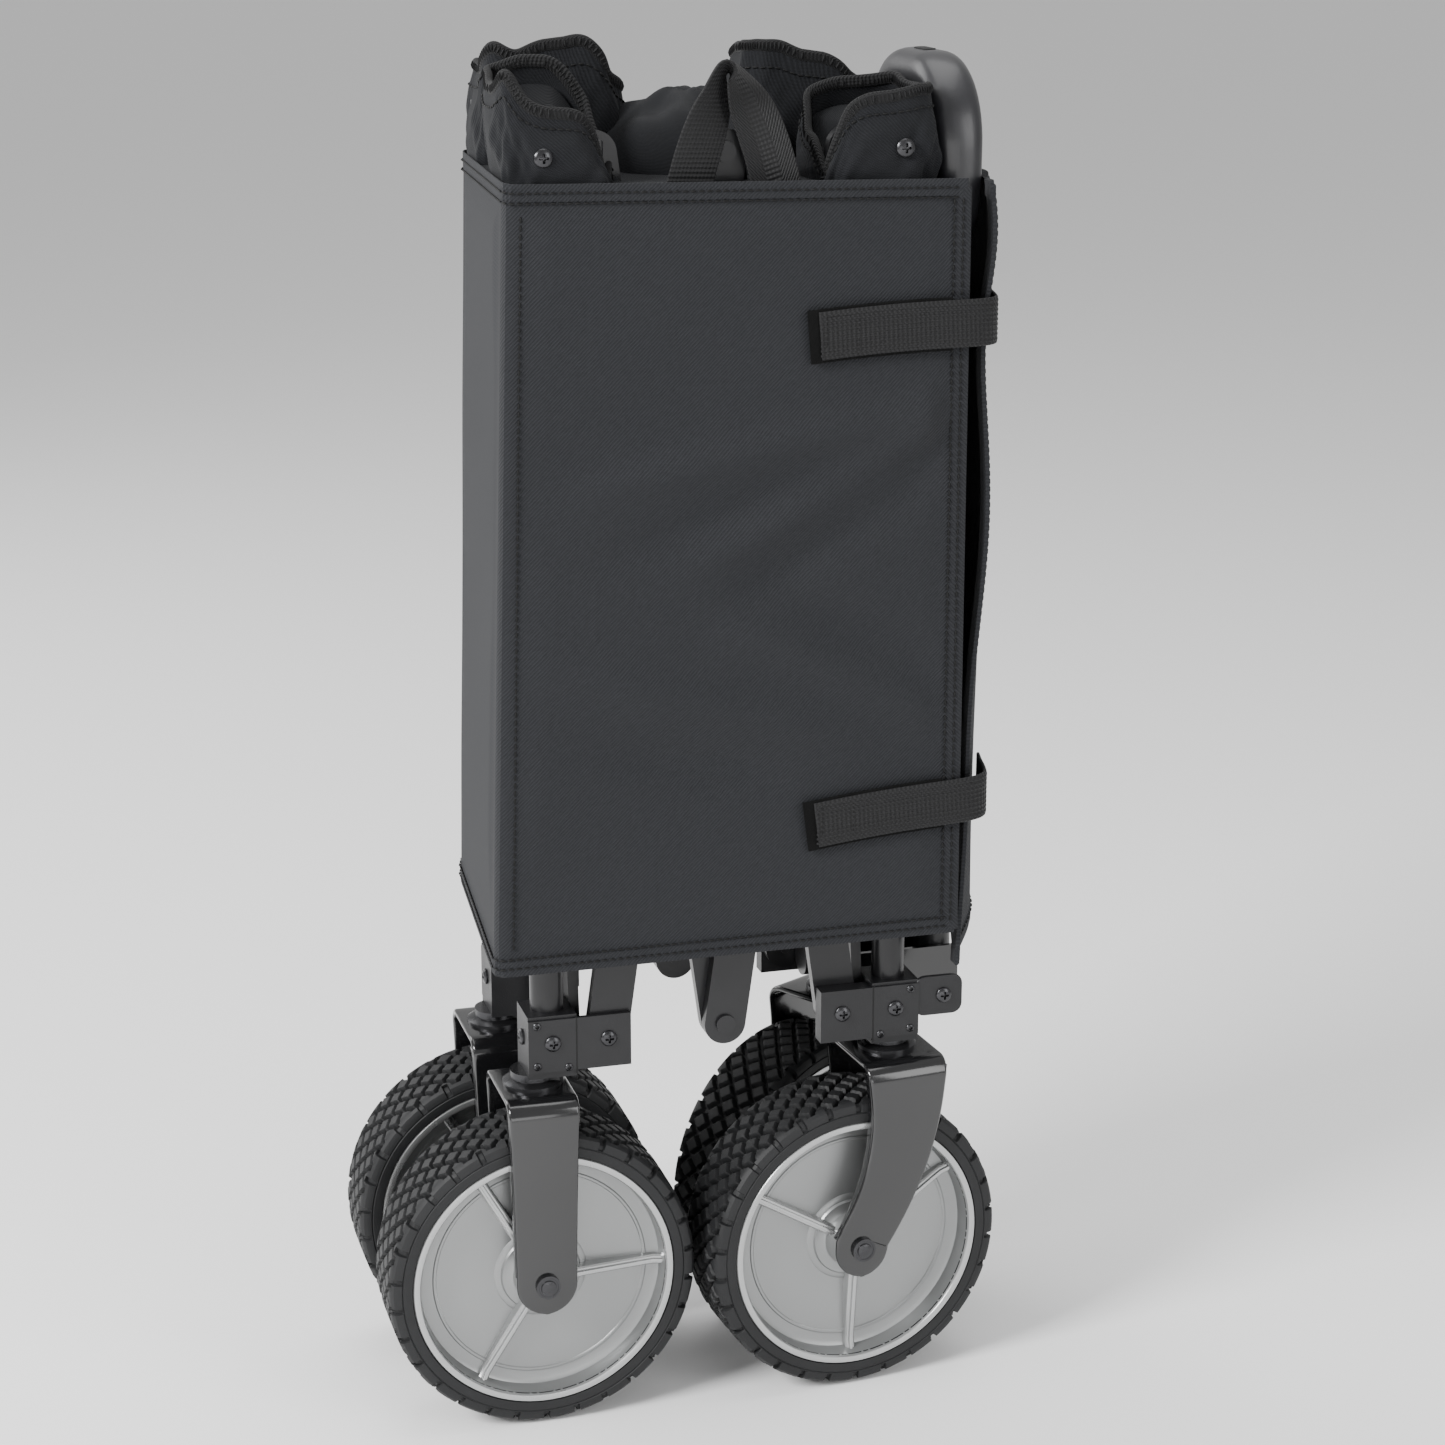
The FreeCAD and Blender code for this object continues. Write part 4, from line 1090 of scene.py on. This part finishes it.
@dataclass
class PullLoop:
    """Loop of webbing sewn to the middle of the floor, pulled up to fold the wagon."""
    width: float = 26.0
    thickness: float = 1.9

    def build(self) -> None:
        """Make the webbing and the tuck of floor cloth below it."""
        path = smooth_path([(-31, -62, 640), (-29, -66, 668), (-19, -70.0, 712), (-7, -67, 744), (1, -62, 760),
                            (10, -64, 748), (21, -70, 718), (29, -69, 684), (33, -64, 644)], 90)
        tilt = np.linspace(0, 1, 90)[:, None]
        across = np.array([1.0, 0.25, -0.35]) * (1 - tilt) + np.array([1.0, -0.35, 0.35]) * tilt
        across = across + np.exp(-((tilt - 0.5) / 0.13) ** 2) * (0.0, 1.6, 0.0)
        shell = outwards(ribbon(path, across, self.width, self.thickness))
        band = make("pull_loop_webbing", shell, WEBBING, "floor_centre")
        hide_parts("pull_loop")
        rim = make("floor_tuck", outwards(self.tuck()), TUB_CANVAS, "floor_centre")
        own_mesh(band)
        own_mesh(rim)
        log.info("pull loop and tucked floor")

    @staticmethod
    def tuck() -> Shell:
        """Crumpled floor cloth that fills the mouth between the corners: a wavy mound on a flat underside."""
        turn = TAU * np.arange(120) / 120
        rings = []
        for share in np.linspace(0.02, 1.0, 26):
            wave = 5.0 * np.sin(4 * turn + 6 * share) * share + 2.6 * np.sin(7 * turn - 9 * share) * share
            z = 742 + wave + 4.0 * np.sin(10 * share) * (1 - share) - 46 * share ** 3
            rings.append(np.column_stack([64 * share * np.cos(turn), 14 + 54 * share * np.sin(turn), z]))
        under = [np.column_stack([ring[:, :2] * 0.98, ring[:, 2] - 3.0]) for ring in rings[::-1]]
        return loft(np.array(rings + under))


# ---- handle grip ----------------------------------------------------------------------------------------------

@dataclass
class Grip:
    """D-shaped ring on the end of the telescoping tube, with a neck and a flat dark sheet on its top that paints the
    shade of a finger slot.
    """
    half_width: float = 62.0
    low: float = 650.0
    high: float = 765.0
    depth: float = 26.0
    wall: float = 24.0
    pivot: tuple[float, float] = (146.0, 222.0)
    lean: float = 1.5

    def leaned(self, points: np.ndarray) -> np.ndarray:
        """Turn points drawn upright over the handle's pivot by the handle's lean."""
        a = math.radians(self.lean)
        x, z = points[:, 0], points[:, 2] - self.pivot[1]
        return np.column_stack([self.pivot[0] + x * math.cos(a) - z * math.sin(a), points[:, 1],
                                self.pivot[1] + x * math.sin(a) + z * math.cos(a)])

    def build(self) -> None:
        """Make the ring, the neck and the painted shade of the finger slot."""
        half = self.wall / 2
        outline = rounded_box(2 * (self.half_width - half), self.high - self.low - 2 * half, 36.0, 14)
        outline = resampled(outline, 3.0)
        middle = (self.high + self.low) / 2
        path = np.column_stack([np.zeros(len(outline)), outline[:, 0], outline[:, 1] + middle])
        normal = np.column_stack([outline[:, 0] * 1.2, outline[:, 1]])
        upper = smoothstep(-20, 40, outline[:, 1])
        turn = TAU * np.arange(28) / 28
        round_x = np.sign(np.cos(turn)) * np.abs(np.cos(turn)) ** 0.75
        round_z = np.sign(np.sin(turn)) * np.abs(np.sin(turn)) ** 0.75
        run = np.roll(path, -1, 0) - np.roll(path, 1, 0)
        out = np.column_stack([np.zeros(len(path)), run[:, 2], -run[:, 1]])
        out /= np.linalg.norm(out, axis=1, keepdims=True)
        out *= np.sign((out[:, 1] * normal[:, 0] + out[:, 2] * normal[:, 1]))[:, None]
        deep = self.depth / 2 + 1.5 * upper
        rings = path[:, None] + (round_x[None] * deep[:, None])[..., None] * (1, 0, 0) \
            + (round_z * half)[None, :, None] * out[:, None]
        ring = outwards(loft(rings, capped=False, loop=True)).moved(self.leaned)
        grip = make("grip_ring", ring, GRIP_PLASTIC, "handle_slider")
        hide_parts("handle_grip")
        neck = np.array([(12.6, 622.0), (13.6, 623.0), (13.8, 636.0), (15.0, 646.0), (17.5, 656.0)])
        make("grip_neck", outwards(turned(neck, 40, capped=True)).moved(self.leaned), GRIP_PLASTIC, "handle_slider")
        # Thin near-black sheet on the grip's top: painted shade of the finger slot, not a cut into the ring.
        slot = prism(rounded_box(7.0, 22.0, 3.4), 0, 0.8, 0.3).moved(lambda p: p + (0, 0, self.high - 0.3))
        make("grip_slot", slot.moved(self.leaned), SHADOW, "handle_slider")
        log.info("grip: ring %.0f by %.0f mm, neck, slot", 2 * self.half_width, self.high - self.low)


# ---- screws, rivets and wings ------------------------------------------------------------------------------------

@dataclass
class Hardware:
    """Screws on one corner, and the wing plate on a front corner."""
    corner: Corner

    def build(self) -> None:
        """Make the lower and upper fasteners of the corner."""
        end, side, tag = self.corner.end.value, self.corner.side.value, self.corner.name
        out_y, out_x = (0, side, 0), (end, 0, 0)
        big, small = PanScrew(), PanScrew(2.3, 1.4, 1.2)
        face = side * 65.4
        low = scattered(big.shell(), [(out_y, (end * DRAWN_X, face, LOW_PIVOT)),
                                      (out_y, (end * PIVOT_X, face, LOW_PIVOT)),
                                      (out_x, (end * 115.0, side * DRAWN_Y, LOW_PIVOT))])
        spots = [(out_y, (end * x, face, z)) for x, z in ((92, 213), (110, 239), (110, 215))]
        low = joined([low, scattered(small.shell(), spots)])
        make("bracket_screws_" + tag, low, BLACK_ZINC, "leg_" + tag)
        # Thin near-black strip on the bracket face: painted shade in the gap of the seam.
        seam = prism(rounded_box(0.9, 34.0, 0.4), 0, 0.5, 0.2)
        seam = seam.moved(facing(out_y, (end * 87.4, side * 65.2, 225.5)))
        make("bracket_seam_" + tag, seam, SHADOW, "leg_" + tag)
        if self.corner.end is End.FRONT:
            outline = resampled(rounded_box(29, 24, 6.0), 2.0) + (127.5, 0)
            plate = prism(outline, 0, 3.0, 0.9)
            plate = outwards(plate.moved(lambda p: np.column_stack([p[:, 0], side * (61.6 + p[:, 2]), 233 + p[:, 1]])))
            make("wing_plate_" + tag, plate, MOULDED, "leg_" + tag)
            screw = scattered(big.shell(), [(out_y, (130.5, side * 64.5, 233))])
            make("wing_screw_" + tag, screw, BLACK_ZINC, "leg_" + tag)
        x, y = (101.0, 75.0) if self.corner.end is End.REAR else (96.0, 73.4)
        shank = outwards(turned(np.array([(2.4, -12.0), (2.4, 0.2)]), 20, capped=True))
        high = scattered(joined([PanScrew(5.0, 2.8, 2.6).shell(), shank]), [(out_y, (end * x, side * y, 718.5))])
        make("cap_screw_" + tag, high, BLACK_ZINC, "upper_" + tag)
        log.info("fasteners %s", tag)


def rivets() -> None:
    """Domed rivet heads where the side bars cross, on the outer bar of each pair."""
    head = np.array([(6.2, -0.3), (6.4, 0.5), (5.8, 1.5), (4.2, 2.3), (2.2, 2.8), (0.2, 2.9)])
    dome = outwards(turned(head, 32, capped=True))
    height = LOW_PIVOT + BAR_LENGTH * math.cos(math.radians(FOLD_ANGLE)) / 2
    for side in Side:
        tag, y = side.name.lower(), side.value
        for number, (x, bar) in enumerate(((-34.5, "bar_a_"), (34.5, "bar_d_"))):
            make("crossing_rivet_%s_%d" % (tag, number), dome.moved(facing((0, y, 0), (x, y * 62.0, height))),
                 RIVET_STEEL, bar + tag)


# ---- nodes shown as they are ---------------------------------------------------------------------------------

def dress_nodes() -> None:
    """Give the nodes that stay in view their finishes and soften their moulded and sheared edges."""
    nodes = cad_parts
    replaced = ("tyre_", "rim_", "rear_fork_", "caster_fork_", "wrap_", "closure_", "tub_fabric_",
                "pull_loop", "handle_grip")
    for name, node in nodes.items():
        if name.startswith(replaced):
            continue
        finish = SATIN_COAT
        if name.startswith(("corner_", "floor_hub")):
            finish = MOULDED
        elif name.startswith("axle_bolt"):
            finish = BLACK_ZINC
        elif name.startswith("handle_carrier"):
            finish = GLOSS_COAT
        if node.material_slots:
            for slot in node.material_slots:
                slot.link = "OBJECT"
                slot.material = finish.material()
        else:
            node.data.materials.append(finish.material())
        if name.startswith(("corner_", "side_bar", "end_bar", "handle_carrier")):
            soft = node.modifiers.new("soft_edges", "BEVEL")
            soft.width = (1.6 if name.startswith("corner_") else 1.1) * MM
            soft.segments = 3
            soft.limit_method = "ANGLE"
            soft.angle_limit = math.radians(40)
            soft.harden_normals = False
    log.info("nodes dressed: %d", len(nodes))


# ---- camera, light and ground -----------------------------------------------------------------------------------

def stage_scene() -> None:
    """Camera, soft lights, white surround and a pale floor."""
    camera = bpy.data.objects.new("camera", bpy.data.cameras.new("camera"))
    bpy.context.scene.collection.objects.link(camera)
    camera.data.lens, camera.data.sensor_width = LENS, 36.0
    camera.location = np.array(CAMERA_PLACE) * MM + MIDDLE
    camera.rotation_euler = (math.radians(90 - CAMERA_DOWN), 0.0, math.radians(-CAMERA_TURN))
    camera.data.clip_end = 50
    bpy.context.scene.camera = camera

    floor = bpy.data.meshes.new("floor")
    floor.from_pydata([(-30, -30, 0), (30, -30, 0), (30, 30, 0), (-30, 30, 0)], [], [(0, 1, 2, 3)])
    paint = bpy.data.materials.new("floor")
    paint.use_nodes = True
    shader = paint.node_tree.nodes["Principled BSDF"]
    shader.inputs["Base Color"].default_value = (0.9, 0.9, 0.9, 1)
    shader.inputs["Roughness"].default_value = 0.7
    floor.materials.append(paint)
    ground = bpy.data.objects.new("floor", floor)
    ground.location = (0, 0, -0.0008)
    bpy.context.scene.collection.objects.link(ground)

    for name, place, size, power, aim in (("key", (-2.2, -1.05, 1.9), (0.9, 0.9), 135, (0, 0, 0.4)),
                                          ("fill", (1.6, -2.2, 1.3), (1.2, 1.8), 30, (0, 0, 0.35)),
                                          ("low_front", (-0.5, -2.6, 0.5), (2.4, 0.7), 14, (0, 0, 0.15)),
                                          ("top", (0.1, 0.3, 2.6), (1.8, 1.8), 30, (0, 0, 0.5)),
                                          ("back", (-1.5, 2.0, 1.5), (1.2, 1.8), 26, (0, 0, 0.4))):
        data = bpy.data.lights.new(name, "AREA")
        data.shape, data.size, data.size_y, data.energy = "RECTANGLE", *size, power
        light = bpy.data.objects.new(name, data)
        light.location = place
        light.rotation_euler = (Vector(aim) - Vector(place)).to_track_quat("-Z", "Y").to_euler()
        bpy.context.scene.collection.objects.link(light)
    world = bpy.data.worlds.new("studio")
    world.use_nodes = True
    world.node_tree.nodes["Background"].inputs["Color"].default_value = (1, 1, 1, 1)
    world.node_tree.nodes["Background"].inputs["Strength"].default_value = 0.62
    bpy.context.scene.world = world


def pouches() -> list[CornerPouch]:
    """The four gathered corners of the tub's cloth."""
    rear_right, rear_left = Corner(End.REAR, Side.RIGHT), Corner(End.REAR, Side.LEFT)
    front_right, front_left = Corner(End.FRONT, Side.RIGHT), Corner(End.FRONT, Side.LEFT)
    return [
        CornerPouch(rear_right, (-86, -42), (32.0, 29.5), 690, ((0, 716), (45, 744), (90, 764), (135, 758), (180, 752),
                    (222, 760), (245, 748), (262, 743), (280, 738), (298, 728), (312, 712), (335, 702)),
                    ((0.035, 3, 0.4), (0.02, 5, 2.1), (0.012, 8, 1.0)), 1),
        CornerPouch(rear_left, (-74, 40), (40.0, 28.0), 690, ((0, 742), (45, 748), (90, 752), (135, 756), (180, 756),
                    (225, 769), (250, 764), (280, 772), (315, 754)), ((0.04, 3, 1.4), (0.03, 5, 0.3), (0.02, 7, 2.2)), 2),
        CornerPouch(front_right, (84, -42), (33.0, 29.5), 690, ((0, 746), (45, 750), (90, 750), (135, 742), (180, 722),
                    (215, 702), (232, 722), (248, 738), (270, 744), (300, 749), (330, 748)),
                    ((0.03, 3, 2.6), (0.02, 5, 1.1), (0.012, 8, 0.2)), 3),
        CornerPouch(front_left, (71, 40), (39.0, 28.0), 690, ((0, 742), (60, 748), (120, 758), (180, 764), (225, 768),
                    (255, 766), (290, 752), (320, 744)), ((0.04, 3, 0.9), (0.02, 5, 1.7), (0.015, 9, 0.5)), 4)]


def main() -> None:
    """Build every piece, then the stage."""
    log.info("posts %.2f, %.2f mm off the middle, drawn %.1f, %.1f", POST_X, POST_Y, DRAWN_X, DRAWN_Y)
    dress_nodes()
    wheels = {("REAR", "RIGHT"): ((-110.0, -50.0), 0.0), ("REAR", "LEFT"): ((-110.0, 50.0), 0.0),
              ("FRONT", "RIGHT"): (swung(-50.0, 5.6), 5.6), ("FRONT", "LEFT"): (swung(50.0, 30.0), 30.0)}
    for corner in CORNERS:
        centre, yaw = wheels[(corner.end.name, corner.side.name)]
        Wheel(corner, centre, yaw).build()
        swept = corner.end is End.FRONT
        Fork(corner, centre, yaw, swept).build()
        Hardware(corner).build()
    rivets()
    Wrap().build()
    Flap().build()
    Straps().build()
    for pouch in pouches():
        pouch.build()
    PullLoop().build()
    Grip().build()
    stage_scene()


def swung(y: float, yaw: float) -> tuple[float, float]:
    """Place on plan of a caster's wheel, which trails its post."""
    turn = math.radians(yaw)
    return DRAWN_X - CASTER_TRAIL * math.cos(turn), y - CASTER_TRAIL * math.sin(turn)


if __name__ == "__main__":
    main()
